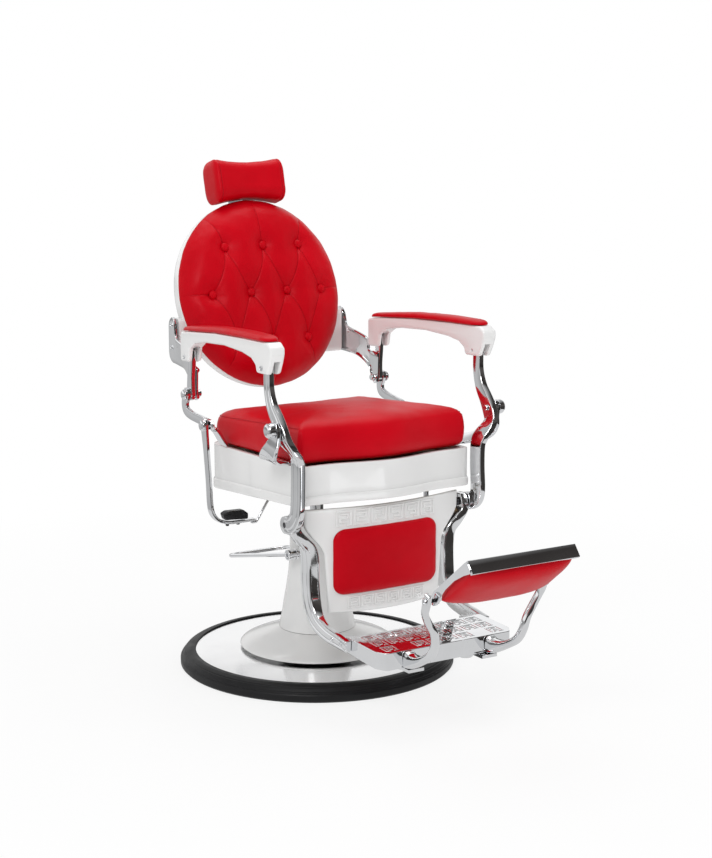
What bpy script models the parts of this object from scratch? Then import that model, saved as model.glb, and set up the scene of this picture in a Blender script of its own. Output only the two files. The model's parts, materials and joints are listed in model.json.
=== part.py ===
"""Hydraulic barber chair: every piece a separate solid, grouped under the axis it moves about.

Frame: metres, +Z up, origin on the floor at the centre of the base. The sitter faces -Y and
+X is the sitter's left. Names ending in _left lie at +X, names ending in _right at -X.
"""
import bpy
import bmesh
from math import cos, hypot, pi, radians, sin, tan
from mathutils import Matrix, Vector

# ---- driving dimensions -------------------------------------------------------------------
GAP = 0.0004                      # clearance left between neighbouring solids

BASE_R = 0.330                    # rubber rim, outer radius
PLATE_R = 0.300                   # polished floor plate
PLATE_EDGE_H = 0.0335
PLATE_TOP = 0.0425
PLATE_WALL = 0.008                # the plate is a dish, open below round a central boss
BASE_BOSS_R = 0.075
SKIRT_R = 0.186
COVER_FOOT_R = 0.0925
COVER_TOP = 0.358
CYLINDER_R = 0.0495
RAM_R = 0.016
RAM_BORE_R = 0.0166
RAM_TOP = 0.4185

PEDAL_AXIS = (0.0, -0.030, 0.279)
PEDAL_HALF_W = 0.0855             # half the width of the foot loop
PEDAL_REACH = 0.345               # loop length, hub to cross bar
PEDAL_DROP = radians(12.7)
PEDAL_ROD_R = 0.005

SEAT_HALF_W = 0.2275
SEAT_FRONT = -0.308
SEAT_REAR = 0.132
SEAT_BOW = 0.030                  # how far the serpentine front swells
SEAT_BOW_HALF = 0.165
APRON_TOP = 0.550                 # apron edges at the front; both fall towards the rear
APRON_TOP_FALL = 0.026
APRON_BOTTOM = 0.4625
APRON_BOTTOM_FALL = 0.070
APRON_WALL = 0.012
CUSHION_INSET = 0.0075            # the cushion stands in from the apron
CUSHION_FALL = 0.022              # its top falls this much towards the rear
CUSHION_DEPTH = 0.43
CUSHION_H = 0.098
BOARD_H = 0.018

FRONT_AXIS = (0.0, -0.316, 0.640)      # front links on the seat
RECLINE_AXIS = (0.0, 0.135, 0.655)     # backrest on the seat arms
KNEE_AXIS = (0.0, -0.281, 0.4205)      # legrest on the front links
ARM_AXIS = (0.0, -0.268, 0.768)        # armrests on the front links
ARM_REAR_PIN = (0.0, 0.130, 0.746)     # rear end of the armrest linkage, left open
FLIP_AXIS = (0.0, -0.693, 0.332)       # folding foot cushion
HANDLE_AXIS = (0.0, 0.034, 0.597)      # recline handle

FRAME_HALF_T = 0.0075             # front link: half thickness
FRAME_HALF_D = 0.0205             # front link: half depth below its pivot

BACK_CENTRE = (0.0, 0.225, 0.8755)
BACK_LEAN = radians(15.7)
BACK_R = 0.2295
SHELL_R = 0.228
DISC_RISE = 0.005                 # the disc's centre, up the back from the middle row of buttons
DISC_OVAL = (0.965, 1.0, 1.017)   # the disc is a little taller than wide
SHELL_DEPTH = 0.038
EAR_X = 0.2286                    # side brackets sit on the shell's ears here
HEADREST_RISE = 0.283             # headrest centre, up the back from the centre of the disc
HEADREST_BACK = 0.046             # headrest centre, rearward of the button plane
HEADREST_HALF_W = 0.097
BRACKET_TOE_IN = 0.0165           # side brackets close in on the shell towards the rear
SLIDE_BAR_SETBACK = 0.112         # headrest bar, rearward of the button plane

PANEL_TOP = 0.450
PANEL_BOTTOM = 0.212
PANEL_Y = -0.295                  # front face of the calf panel at its edges
PANEL_THICK = 0.009
PLATE_FRONT = -0.560              # footplate
PLATE_BACK = -0.430
FOOT_TOP = 0.192
FOOT_BOTTOM = 0.150
FOOT_HALF_W = 0.1745
FLIP_SLOPE = radians(38.0)
FLIP_LENGTH = 0.158
FLIP_HALF_W = 0.134

# ---- materials: base colour, metallic, roughness --------------------------------------------
FINISHES = {
    "chrome": ((0.80, 0.80, 0.81), 1.0, 0.06),
    "polished_steel": ((0.72, 0.72, 0.73), 1.0, 0.14),
    "dark_steel": ((0.30, 0.30, 0.31), 1.0, 0.38),
    "white_enamel": ((0.86, 0.86, 0.85), 0.0, 0.12),
    "red_leather": ((0.60, 0.012, 0.028), 0.0, 0.36),
    "black_rubber": ((0.018, 0.018, 0.020), 0.0, 0.62),
    "black_plastic": ((0.020, 0.020, 0.022), 0.0, 0.38),
    "plywood": ((0.48, 0.33, 0.19), 0.0, 0.65),
}

# ---- moving groups: parent group and a point on the joint's axis -----------------------------
GROUPS = {
    "base": (None, (0.0, 0.0, 0.0)),
    "pump": ("base", (0.0, 0.0, PLATE_TOP)),
    "pump_lever": ("pump", PEDAL_AXIS),
    "seat": ("pump", (0.0, 0.0, RAM_TOP)),
    "recline_handle": ("seat", HANDLE_AXIS),
    "backrest": ("seat", RECLINE_AXIS),
    "headrest_slide": ("backrest", BACK_CENTRE),
    "headrest": ("headrest_slide", (0.0, 0.437, 1.118)),
    "front_links": ("seat", FRONT_AXIS),
    "armrests": ("front_links", ARM_AXIS),
    "legrest": ("front_links", KNEE_AXIS),
    "foot_cushion": ("legrest", FLIP_AXIS),
}

SIDES = (("left", 1.0), ("right", -1.0))
TO_X = Matrix.Rotation(pi / 2, 4, "Y")
TO_Y = Matrix.Rotation(-pi / 2, 4, "X")
BACK = Matrix.Translation(BACK_CENTRE) @ Matrix.Rotation(-BACK_LEAN, 4, "X")
axes = {}
finishes = {}


# ---- scene and placement ----------------------------------------------------------------------
def clear_scene():
    for obj in list(bpy.data.objects):
        bpy.data.objects.remove(obj, do_unlink=True)


def make_finishes():
    for name, (colour, metallic, roughness) in FINISHES.items():
        material = bpy.data.materials.new(name)
        material.use_nodes = True
        shader = material.node_tree.nodes["Principled BSDF"]
        shader.inputs["Base Color"].default_value = (*colour, 1.0)
        shader.inputs["Metallic"].default_value = metallic
        shader.inputs["Roughness"].default_value = roughness
        material.diffuse_color = (*colour, 1.0)
        finishes[name] = material


def make_axes():
    """One empty on each joint's axis, parented as the real pieces hang on each other."""
    for name, (parent, point) in GROUPS.items():
        empty = bpy.data.objects.new("axis_" + name, None)
        bpy.context.collection.objects.link(empty)
        empty.location = point
        if parent:
            empty.parent = axes[parent]
            empty.location = Vector(point) - Vector(GROUPS[parent][1])
        axes[name] = empty


def make_object(name, bm):
    bmesh.ops.recalc_face_normals(bm, faces=bm.faces)
    mesh = bpy.data.meshes.new(name)
    bm.to_mesh(mesh)
    bm.free()
    obj = bpy.data.objects.new(name, mesh)
    bpy.context.collection.objects.link(obj)
    return obj


def assemble(obj, group, finish, smooth=35.0):
    """Give a solid its finish and hang it on its group's axis; its mesh is in world places."""
    obj.data.transform(Matrix.Translation(-Vector(GROUPS[group][1])))
    obj.parent = axes[group]
    obj.data.materials.append(finishes[finish])
    if smooth:
        obj.data.shade_smooth()
        obj.data.set_sharp_from_angle(angle=radians(smooth))
    return obj


def as_guide(obj):
    obj.hide_render = True
    obj.display_type = "WIRE"
    return obj


def combine(obj, tool, operation):
    modifier = obj.modifiers.new(operation.lower(), "BOOLEAN")
    modifier.operation = operation
    modifier.solver = "EXACT"
    modifier.object = as_guide(tool)
    return obj


def cut(obj, tool):
    return combine(obj, tool, "DIFFERENCE")


def unite(obj, tool):
    return combine(obj, tool, "UNION")


# ---- shapes -------------------------------------------------------------------------------------
def loft(name, rings, wrap=False):
    """Skin through equal rings of points; wrap joins the last ring to the first."""
    bm = bmesh.new()
    verts = [[bm.verts.new(point) for point in ring] for ring in rings]
    count = len(rings[0])
    spans = len(rings) if wrap else len(rings) - 1
    for i in range(spans):
        lower = verts[i]
        upper = verts[(i + 1) % len(rings)]
        for j in range(count):
            k = (j + 1) % count
            bm.faces.new((lower[j], lower[k], upper[k], upper[j]))
    if not wrap:
        bm.faces.new(verts[0][::-1])
        bm.faces.new(verts[-1])
    return make_object(name, bm)


def turned(name, profile, segments=32, place=Matrix()):
    """Revolve a closed (radius, height) outline about Z; points of radius 0 lie on the axis."""
    bm = bmesh.new()
    rings = []
    for radius, height in profile:
        if radius == 0.0:
            rings.append([bm.verts.new(place @ Vector((0.0, 0.0, height)))])
            continue
        angles = [2.0 * pi * i / segments for i in range(segments)]
        ring = [place @ Vector((radius * cos(a), radius * sin(a), height)) for a in angles]
        rings.append([bm.verts.new(point) for point in ring])
    for i, lower in enumerate(rings):
        upper = rings[(i + 1) % len(rings)]
        if len(lower) == 1 and len(upper) == 1:
            continue
        for j in range(segments):
            k = (j + 1) % segments
            corners = [lower[j % len(lower)], lower[k % len(lower)]]
            corners += [upper[k % len(upper)], upper[j % len(upper)]]
            bm.faces.new(list(dict.fromkeys(corners)))
    return make_object(name, bm)


def plate(name, outline, x_low, x_high):
    """A flat piece: a (y, z) outline carried from x_low to x_high."""
    rings = [[(x, y, z) for y, z in outline] for x in (x_low, x_high)]
    return loft(name, rings)


def block(name, low, high):
    (x0, y0, z0), (x1, y1, z1) = low, high
    return plate(name, [(y0, z0), (y1, z0), (y1, z1), (y0, z1)], x0, x1)


def bevel(obj, width, segments=1, angle=35.0):
    modifier = obj.modifiers.new("bevel", "BEVEL")
    modifier.width = width
    modifier.segments = segments
    modifier.limit_method = "ANGLE"
    modifier.angle_limit = radians(angle)
    modifier.use_clamp_overlap = True
    return obj


def smooth_path(points, steps):
    """Catmull-Rom curve through points of any dimension."""
    points = [Vector(p) for p in points]
    ends = [points[0] * 2 - points[1]] + points + [points[-1] * 2 - points[-2]]
    path = []
    for i in range(len(points) - 1):
        a, b, c, d = ends[i:i + 4]
        for step in range(steps):
            t = step / steps
            bend = (a * -1 + c) * t + (a * 2 - b * 5 + c * 4 - d) * t ** 2
            path.append(b + (bend + (a * -1 + b * 3 - c * 3 + d) * t ** 3) * 0.5)
    path.append(points[-1])
    return path


def rounded(corners, radius, steps=3):
    """A closed 2-D outline with every corner turned into an arc of up to the given radius."""
    outline = []
    count = len(corners)
    for i in range(count):
        here = Vector(corners[i])
        before = Vector(corners[i - 1]) - here
        after = Vector(corners[(i + 1) % count]) - here
        half = before.angle(after) / 2.0
        reach = min(radius / tan(half), before.length * 0.45, after.length * 0.45)
        start = here + before.normalized() * reach
        end = here + after.normalized() * reach
        for step in range(steps + 1):
            t = step / steps
            outline.append(tuple(start * (1 - t) ** 2 + here * 2 * t * (1 - t) + end * t ** 2))
    return outline


def bar(name, path, halves, reference=(1.0, 0.0, 0.0), steps=2, chamfer=0.3, x_sign=1.0):
    """A bar along a path. halves holds (half side, half up) at each point; up leans to reference."""
    count = len(path)
    rows = [(*path[i], *(halves[i] if isinstance(halves, list) else halves)) for i in range(count)]
    rows = [tuple(row) for row in smooth_path(rows, steps)] if steps > 1 else rows
    centres = [Vector(row[:3]) for row in rows]
    rings = []
    for i, centre in enumerate(centres):
        ahead = centres[min(i + 1, len(centres) - 1)]
        behind = centres[max(i - 1, 0)]
        tangent = (ahead - behind).normalized()
        side = Vector(reference).cross(tangent).normalized()
        up = tangent.cross(side)
        a, b = rows[i][3:]
        c = min(a, b) * chamfer
        section = [(a, b - c), (a - c, b), (c - a, b), (-a, b - c)]
        section += [(-a, c - b), (c - a, -b), (a - c, -b), (a, c - b)]
        ring = [centre + side * s + up * u for s, u in section]
        rings.append([(x_sign * p.x, p.y, p.z) for p in ring])
    return loft(name, rings)


def rod(name, path, radius, sides=10, steps=1, x_sign=1.0):
    """A round rod along a path, with a section that doesn't twist."""
    centres = [Vector(p) for p in (smooth_path(path, steps) if steps > 1 else path)]
    up = (centres[1] - centres[0]).normalized().orthogonal().normalized()
    rings = []
    for i, centre in enumerate(centres):
        ahead = centres[min(i + 1, len(centres) - 1)]
        behind = centres[max(i - 1, 0)]
        tangent = (ahead - behind).normalized()
        up = (up - tangent * up.dot(tangent)).normalized()
        side = tangent.cross(up)
        ring = []
        for j in range(sides):
            angle = 2.0 * pi * j / sides
            point = centre + side * (radius * cos(angle)) + up * (radius * sin(angle))
            ring.append((x_sign * point.x, point.y, point.z))
        rings.append(ring)
    return loft(name, rings)


def drill(obj, axis_point, radius, reach=0.40, x_centre=0.0, sides=16):
    """A round hole along X through a piece."""
    _, y, z = axis_point
    place = Matrix.Translation((x_centre, y, z)) @ TO_X
    profile = [(0.0, -reach), (radius, -reach), (radius, reach), (0.0, reach)]
    return cut(obj, turned(obj.name + "_drill", profile, sides, place))


def pivot(name, axis_point, profile, x_sign, sides=20):
    """A turned pin along X; profile heights are distances from the chair's middle plane."""
    _, y, z = axis_point
    place = Matrix.Translation((0.0, y, z)) @ Matrix.Rotation(x_sign * pi / 2, 4, "Y")
    return turned(name, profile, sides, place)


# ---- base and pump --------------------------------------------------------------------------------
def build_base():
    profile = [(0.0, 0.0), (BASE_BOSS_R, 0.0), (BASE_BOSS_R + 0.006, PLATE_TOP - PLATE_WALL)]
    profile += [(0.200, 0.0395 - PLATE_WALL), (0.282, 0.0345 - PLATE_WALL), (0.287, 0.0)]
    profile += [(PLATE_R, 0.0), (PLATE_R, PLATE_EDGE_H), (0.2945, 0.0345)]
    profile += [(0.200, 0.0395), (0.100, PLATE_TOP), (0.0, PLATE_TOP)]
    assemble(turned("base_plate", profile, 48), "base", "polished_steel")

    inner = PLATE_R + GAP
    profile = [(inner, 0.0), (0.326, 0.0), (BASE_R, 0.006), (BASE_R, 0.016), (0.3265, 0.0220)]
    profile += [(0.318, 0.0325), (0.305, 0.0375), (0.2935, 0.0378), (0.2932, 0.0353)]
    profile += [(inner, 0.0340)]
    assemble(turned("rubber_rim", profile, 48), "base", "black_rubber")

    bore = CYLINDER_R + GAP
    low = PLATE_TOP + GAP
    profile = [(bore, low), (0.082, low), (0.082, 0.0515), (0.079, 0.0535), (0.061, 0.0545)]
    profile += [(0.061, 0.158), (bore, 0.158)]
    assemble(turned("pump_socket", profile, 24), "base", "dark_steel")


def build_pump():
    bore = CYLINDER_R + GAP
    profile = [(bore, 0.1585), (0.060, 0.1585), (0.060, 0.1665), (bore, 0.1665)]
    assemble(turned("swivel_bearing", profile, 24), "pump", "dark_steel")

    profile = [(0.0, 0.046), (CYLINDER_R, 0.046), (CYLINDER_R, 0.167), (0.0605, 0.167)]
    profile += [(0.0605, 0.180), (CYLINDER_R, 0.183), (CYLINDER_R, 0.346), (0.030, 0.351)]
    profile += [(RAM_BORE_R, 0.351), (RAM_BORE_R, 0.085), (0.0, 0.085)]
    cylinder = turned("pump_cylinder", profile, 24)
    drill(cylinder, PEDAL_AXIS, 0.0085, 0.09)
    assemble(cylinder, "pump", "dark_steel")

    outer = [(COVER_FOOT_R, 0.0885), (0.088, 0.108), (0.080, 0.156)]
    outer += [(0.069, 0.2255), (0.0652, 0.280), (0.0650, 0.351), (0.060, COVER_TOP)]
    inner = [(0.0172, COVER_TOP), (0.0172, 0.3545), (0.0615, 0.3545), (0.0618, 0.280)]
    inner += [(0.0655, 0.2255), (0.0765, 0.156), (0.0890, 0.0885)]
    cover = turned("column_cover", outer + inner, 32)
    drill(cover, PEDAL_AXIS, 0.0095, 0.09)
    assemble(cover, "pump", "white_enamel")

    outer = [(COVER_FOOT_R, 0.0880), (0.105, 0.0825), (0.140, 0.0695)]
    outer += [(0.168, 0.0588), (0.182, 0.0518), (SKIRT_R, 0.0480), (0.1850, 0.0460)]
    inner = [(0.181, 0.0460), (0.165, 0.0560), (0.138, 0.0662)]
    inner += [(0.103, 0.0792), (0.0890, 0.0850), (0.0890, 0.0880)]
    assemble(turned("skirt", outer + inner, 36), "pump", "white_enamel")


def build_pump_lever():
    _, y, z = PEDAL_AXIS
    place = Matrix.Translation((0.0, y, z)) @ TO_X
    shaft = [(0.0, -0.0995), (0.0070, -0.0995), (0.0080, -0.0985), (0.0080, 0.0985)]
    shaft += [(0.0070, 0.0995), (0.0, 0.0995)]
    assemble(turned("lever_shaft", shaft, 20, place), "pump_lever", "chrome")

    along = Vector((0.0, cos(PEDAL_DROP), -sin(PEDAL_DROP)))
    hub = Vector(PEDAL_AXIS)
    corner = 0.036
    path = [hub + along * 0.0100 + Vector((-PEDAL_HALF_W, 0.0, 0.0))]
    for centre_x, start in ((-1.0, pi), (1.0, pi / 2)):
        for step in range(6):
            angle = start - step * pi / 10
            x = centre_x * (PEDAL_HALF_W - corner) + corner * cos(angle)
            reach = PEDAL_REACH - corner + corner * sin(angle)
            path.append(hub + along * reach + Vector((x, 0.0, 0.0)))
    path.append(hub + along * 0.0100 + Vector((PEDAL_HALF_W, 0.0, 0.0)))
    loop = rod("pump_lever", path, PEDAL_ROD_R, 8)
    for side, sign in SIDES:
        eye = [(0.0085, 0.0740), (0.0127, 0.0740), (0.0127, 0.0970), (0.0085, 0.0970)]
        unite(loop, pivot("lever_eye_" + side, PEDAL_AXIS, eye, sign, 16))
    assemble(loop, "pump_lever", "chrome")


# ---- seat -------------------------------------------------------------------------------------------
def apron_top(y):
    return APRON_TOP - APRON_TOP_FALL * (y - SEAT_FRONT)


def apron_bottom(y):
    return APRON_BOTTOM - APRON_BOTTOM_FALL * (y - SEAT_FRONT)


def seat_outline(inset=0.0, front_steps=14, corner_steps=3):
    """Plan outline of the seat as (x, y): serpentine front, straight sides, rounded rear corners."""
    half = SEAT_HALF_W - inset
    front = SEAT_FRONT + inset
    rear = SEAT_REAR - inset
    front_r = max(0.018 - inset, 0.008)
    rear_r = max(0.060 - inset, 0.008)
    outline = []
    for i in range(front_steps + 1):
        x = -(half - front_r) + 2.0 * (half - front_r) * i / front_steps
        swell = 0.5 * (1.0 + cos(pi * min(abs(x) / SEAT_BOW_HALF, 1.0)))
        outline.append((x, front - SEAT_BOW * swell))
    corners = [(half - front_r, front + front_r, front_r, -pi / 2)]
    corners += [(half - rear_r, rear - rear_r, rear_r, 0.0)]
    corners += [(-half + rear_r, rear - rear_r, rear_r, pi / 2)]
    corners += [(-half + front_r, front + front_r, front_r, pi)]
    for x, y, radius, start in corners:
        last = corner_steps if start != pi else corner_steps - 1
        first = 1 if start == -pi / 2 else 0
        for step in range(first, last + 1):
            angle = start + step * pi / (2 * corner_steps)
            outline.append((x + radius * cos(angle), y + radius * sin(angle)))
    return outline


def build_seat_base():
    profile = [(0.0, 0.090), (RAM_R, 0.090), (RAM_R, RAM_TOP - GAP), (0.0, RAM_TOP - GAP)]
    assemble(turned("ram", profile, 24), "seat", "chrome")

    hub = turned("seat_subframe", [(0.0, RAM_TOP), (0.045, RAM_TOP), (0.045, 0.462), (0.0, 0.462)], 24)
    unite(hub, block("subframe_spine", (-0.030, -0.230, 0.452), (0.030, 0.060, 0.470)))
    for side, sign in SIDES:
        low, high = sorted((sign * 0.125, sign * 0.165))
        unite(hub, block("subframe_rail_" + side, (low, -0.220, 0.466), (high, 0.050, 0.5030)))
    for place, y in (("front", -0.200), ("rear", 0.020)):
        unite(hub, block("subframe_cross_" + place, (-0.150, y - 0.02, 0.468), (0.150, y + 0.02, 0.480)))
    assemble(hub, "seat", "dark_steel", None)

    inset = APRON_WALL + 0.001
    rings = []
    for drop in (BOARD_H, 0.0):
        rings.append([(x, y, apron_top(y) - 0.0195 + 0.001 - drop) for x, y in seat_outline(inset)])
    assemble(loft("seat_board", rings), "seat", "plywood", None)

    section = [(0.0, 1.0), (0.0, 0.24), (-0.0025, 0.19), (-0.0025, 0.03), (-0.0010, 0.0)]
    section += [(APRON_WALL, 0.0), (APRON_WALL, 1.0)]
    rings = []
    for inset, rise in section:
        ring = []
        for x, y in seat_outline(inset):
            low = apron_bottom(y)
            ring.append((x, y, low + (apron_top(y) - low) * rise))
        rings.append(ring)
    assemble(loft("seat_apron", rings, wrap=True), "seat", "white_enamel")


def build_seat_cushion():
    section = [(0.024, 0.0010), (0.006, 0.0110), (0.001, 0.030), (0.001, 0.065), (0.006, 0.082)]
    section += [(0.020, 0.093), (0.060, 0.0990), (0.110, 0.1010)]
    rings = []
    for inset, height in section:
        share = height / CUSHION_H
        fall = CUSHION_FALL * share / CUSHION_DEPTH
        ring = [(x, y, apron_top(y) + height - fall * (y - SEAT_FRONT))
                for x, y in seat_outline(inset + CUSHION_INSET)]
        rings.append(ring)
    assemble(loft("seat_cushion", rings), "seat", "red_leather")


def build_seat_brackets():
    """Front brackets and rear arms: they carry the links and the backrest on the seat."""
    for side, sign in SIDES:
        path = [(0.2880, -0.316, 0.6545), (0.2880, -0.316, 0.640), (0.2880, -0.3140, 0.6200)]
        path += [(0.2905, -0.3060, 0.6010), (0.2880, -0.2900, 0.5820), (0.2740, -0.2680, 0.5665)]
        path += [(0.2520, -0.2480, 0.5590), (0.2380, -0.2420, 0.5565), (0.2232, -0.2400, 0.5550)]
        halves = [(0.0045, 0.0100), (0.0052, 0.0160), (0.0052, 0.0175), (0.0048, 0.0215), (0.0045, 0.0235)]
        halves += [(0.0040, 0.0270), (0.0030, 0.0320), (0.0024, 0.0350), (0.0018, 0.0360)]
        bracket = bar("front_bracket_" + side, path, halves, (0.0, 1.0, 0.0), 2, 0.25, sign)
        drill(bracket, FRONT_AXIS, 0.0060)
        assemble(bracket, "seat", "chrome")

        profile = [(0.0, 0.2620), (0.0055, 0.2620), (0.0065, 0.2632), (0.0065, 0.2656)]
        profile += [(0.0050, 0.2656), (0.0050, 0.2942), (0.0165, 0.2942), (0.0165, 0.3030)]
        profile += [(0.0135, 0.3095), (0.0, 0.3125)]
        assemble(pivot("front_pivot_" + side, FRONT_AXIS, profile, sign), "seat", "chrome")

        path = [(0.2720, 0.134, 0.669), (0.2720, 0.1365, 0.655), (0.2720, 0.1450, 0.634)]
        path += [(0.2720, 0.1390, 0.617), (0.2715, 0.1130, 0.6085), (0.2690, 0.0750, 0.6035)]
        path += [(0.2655, 0.0340, 0.597), (0.2590, 0.0330, 0.590), (0.2480, 0.0330, 0.578)]
        path += [(0.2375, 0.0330, 0.560), (0.2290, 0.0330, 0.5456)]
        halves = [(0.0048, 0.0070), (0.0048, 0.0120), (0.0048, 0.0115), (0.0048, 0.0110)]
        halves += [(0.0048, 0.0105), (0.0048, 0.0105), (0.0048, 0.0120), (0.0045, 0.0130)]
        halves += [(0.0045, 0.0140), (0.0040, 0.0150), (0.0030, 0.0160)]
        assemble(rear_arm("rear_arm_" + side, path, halves, sign), "seat", "chrome")

        profile = [(0.0, 0.2370), (0.0065, 0.2370), (0.0080, 0.2385), (0.0080, 0.2450)]
        profile += [(0.0045, 0.2450), (0.0045, 0.2775), (0.0125, 0.2775), (0.0125, 0.2800)]
        profile += [(0.0100, 0.2845), (0.0, 0.2868)]
        assemble(pivot("rear_pivot_" + side, RECLINE_AXIS, profile, sign), "seat", "chrome")


def rear_arm(name, path, halves, sign):
    """A flat arm that drops from the backrest pivot, then turns inward to the seat's edge."""
    rows = [Vector((*p, *h)) for p, h in zip(path, halves)]
    centres = [Vector(tuple(row)[:3]) for row in rows]
    rings = []
    for i, centre in enumerate(centres):
        tangent = (centres[min(i + 1, len(centres) - 1)] - centres[max(i - 1, 0)]).normalized()
        inward = min(max((0.2650 - centre.x) / 0.018, 0.0), 1.0)
        reference = Vector((1.0, 0.0, 0.0)).lerp(Vector((0.0, 0.0, 1.0)), inward)
        thin = (reference - tangent * reference.dot(tangent)).normalized()
        wide = tangent.cross(thin)
        t, w = tuple(rows[i])[3:]
        c = t * 0.35
        section = [(t, w - c), (t - c, w), (c - t, w), (-t, w - c)]
        section += [(-t, c - w), (c - t, -w), (t - c, -w), (t, c - w)]
        ring = [centre + thin * a + wide * b for a, b in section]
        rings.append([(sign * p.x, p.y, p.z) for p in ring])
    arm = loft(name, rings)
    return drill(arm, RECLINE_AXIS, 0.0053)


def build_recline_lock():
    """Gas lock under the seat board, its valve worked by the handle's release rod."""
    place = Matrix.Translation((-0.080, 0.0, 0.4905)) @ TO_Y
    profile = [(0.0, -0.175), (0.0130, -0.175), (0.0135, -0.170), (0.0135, -0.020)]
    profile += [(0.0120, -0.016), (0.0050, -0.016), (0.0050, 0.045), (0.0, 0.045)]
    assemble(turned("recline_lock", profile, 16, place), "seat", "dark_steel")

    path = [(-0.2790, 0.0380, 0.611), (-0.2790, 0.0345, 0.597), (-0.2790, 0.0255, 0.540)]
    path += [(-0.2790, 0.0160, 0.470), (-0.2790, 0.0110, 0.415), (-0.2755, 0.0050, 0.391)]
    path += [(-0.2620, -0.0010, 0.3765), (-0.2400, -0.0040, 0.3715), (-0.2080, -0.0045, 0.3705)]
    path += [(-0.1730, -0.0045, 0.3700)]
    halves = [(0.0035, 0.0085), (0.0038, 0.0130), (0.0038, 0.0105), (0.0038, 0.0100)]
    halves += [(0.0038, 0.0100), (0.0038, 0.0105), (0.0038, 0.0110), (0.0035, 0.0110)]
    halves += [(0.0030, 0.0100), (0.0025, 0.0070)]
    handle = bar("recline_handle", path, halves, (0.0, 1.0, 0.0), 1, 0.3)
    cap = [(0.0, 0.2800), (0.0135, 0.2800), (0.0135, 0.2862), (0.0110, 0.2895), (0.0, 0.2905)]
    unite(handle, pivot("handle_cap", HANDLE_AXIS, cap, -1.0))
    assemble(handle, "recline_handle", "chrome")

    corners = [(-0.2500, 0.3787), (-0.2030, 0.3754), (-0.2030, 0.3885), (-0.2120, 0.3965)]
    corners += [(-0.2440, 0.3970), (-0.2535, 0.3920)]
    outline = rounded(corners, 0.004, 2)
    rings = [[(x, y, z) for x, z in outline] for y in (-0.0150, 0.0070)]
    grip = loft("handle_grip", rings)
    assemble(grip, "recline_handle", "black_plastic")

    path = [(-0.1790, -0.0045, 0.3636), (-0.1670, -0.0045, 0.3646), (-0.1570, -0.0045, 0.3780)]
    path += [(-0.1330, -0.0045, 0.4140), (-0.1150, -0.0045, 0.4340)]
    assemble(rod("release_rod", path, 0.0030, 8, 2), "recline_handle", "chrome")


# ---- backrest and headrest -------------------------------------------------------------------------------
def on_back(obj):
    """Move a solid modelled in the back's own frame (x, rearward, up the back) into place."""
    obj.data.transform(BACK)
    return obj


def build_backrest():
    face = BACK @ Matrix.Translation((0.0, 0.0, DISC_RISE)) @ Matrix.Diagonal((*DISC_OVAL, 1.0)) @ TO_Y
    profile = [(0.0, 0.0495), (BACK_R, 0.0495), (0.2275, 0.040), (0.2200, 0.028), (0.2060, 0.012)]
    profile += [(0.186, 0.001), (0.150, -0.0085), (0.0900, -0.0145), (0.0, -0.0165)]
    assemble(turned("back_cushion", profile, 36, face), "backrest", "red_leather")

    rear = 0.0500 + SHELL_DEPTH
    profile = [(0.2190, 0.0500), (0.2262, 0.0500), (SHELL_R, 0.0520), (SHELL_R, 0.066)]
    profile += [(0.2220, rear - 0.008), (0.2070, rear), (0.0, rear), (0.0, rear - 0.005)]
    profile += [(0.2050, rear - 0.005), (0.2190, 0.070)]
    shell = turned("back_shell", profile, 36, face)
    for side, sign in SIDES:
        x0, x1 = sorted((sign * 0.1750, sign * (EAR_X - GAP)))
        ear = block("shell_ear_" + side, (x0, 0.2640, 0.7120), (x1, 0.3000, 0.8160))
        room = [(0.0, -0.030), (0.2315, -0.030), (0.2315, 0.0504), (0.2187, 0.0504), (0.2187, 0.0700)]
        room += [(0.2046, rear - 0.005), (0.0, rear - 0.005)]
        unite(shell, cut(ear, turned("shell_room_" + side, room, 36, face)))
        x0, x1 = sorted((sign * (EAR_X - GAP), sign * 0.2600))
        cut(shell, block("ear_face_" + side, (x0, 0.2300, 0.7000), (x1, 0.3200, 0.8240)))
    assemble(shell, "backrest", "white_enamel")

    profile = [(0.0, 0.0500), (0.2150, 0.0500), (0.2150, 0.0620), (0.0, 0.0620)]
    assemble(turned("back_board", profile, 24, face), "backrest", "plywood")

    for side, sign in SIDES:
        assemble(back_bracket("back_bracket_" + side, sign), "backrest", "chrome")
        path = [(0.2600, 0.1300, 0.7590), (0.2600, 0.1320, 0.7250), (0.2600, 0.1360, 0.6900)]
        path += [(0.2600, 0.1370, 0.6550), (0.2600, 0.1340, 0.6420)]
        halves = [(0.0100, 0.0063), (0.0105, 0.0063), (0.0110, 0.0063), (0.0125, 0.0063), (0.0085, 0.0063)]
        post = bar("rear_post_" + side, path, halves, (1.0, 0.0, 0.0), 1, 0.25, sign)
        drill(post, RECLINE_AXIS, 0.0053)
        assemble(post, "backrest", "chrome")


def back_bracket(name, sign):
    """Side bracket: screwed to the shell at its rear end, with a web down to the pivot."""
    lower = [(0.3020, 0.7160), (0.2780, 0.7095), (0.2403, 0.7072), (0.2086, 0.7036)]
    lower += [(0.1807, 0.6927), (0.1560, 0.6740), (0.1480, 0.6560), (0.1360, 0.6400), (0.1230, 0.6440)]
    upper = [(0.3020, 0.8140), (0.2760, 0.8210), (0.2620, 0.8120), (0.2540, 0.7740)]
    upper += [(0.2052, 0.7616), (0.1700, 0.7490), (0.1640, 0.7220), (0.1360, 0.7200), (0.1200, 0.7160)]
    rings = []
    for low, high in zip(lower, upper):
        spread = min(max(((low[0] + high[0]) / 2.0 - 0.160) / 0.130, 0.0), 1.0)
        inner = 0.2455 - BRACKET_TOE_IN * spread
        outer = inner + 0.0075
        ring = [(inner, *low), (inner, *high), (outer, *high), (outer, *low)]
        rings.append([(sign * x, y, z) for x, y, z in ring])
    return drill(loft(name, rings), RECLINE_AXIS, 0.0053)


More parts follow.
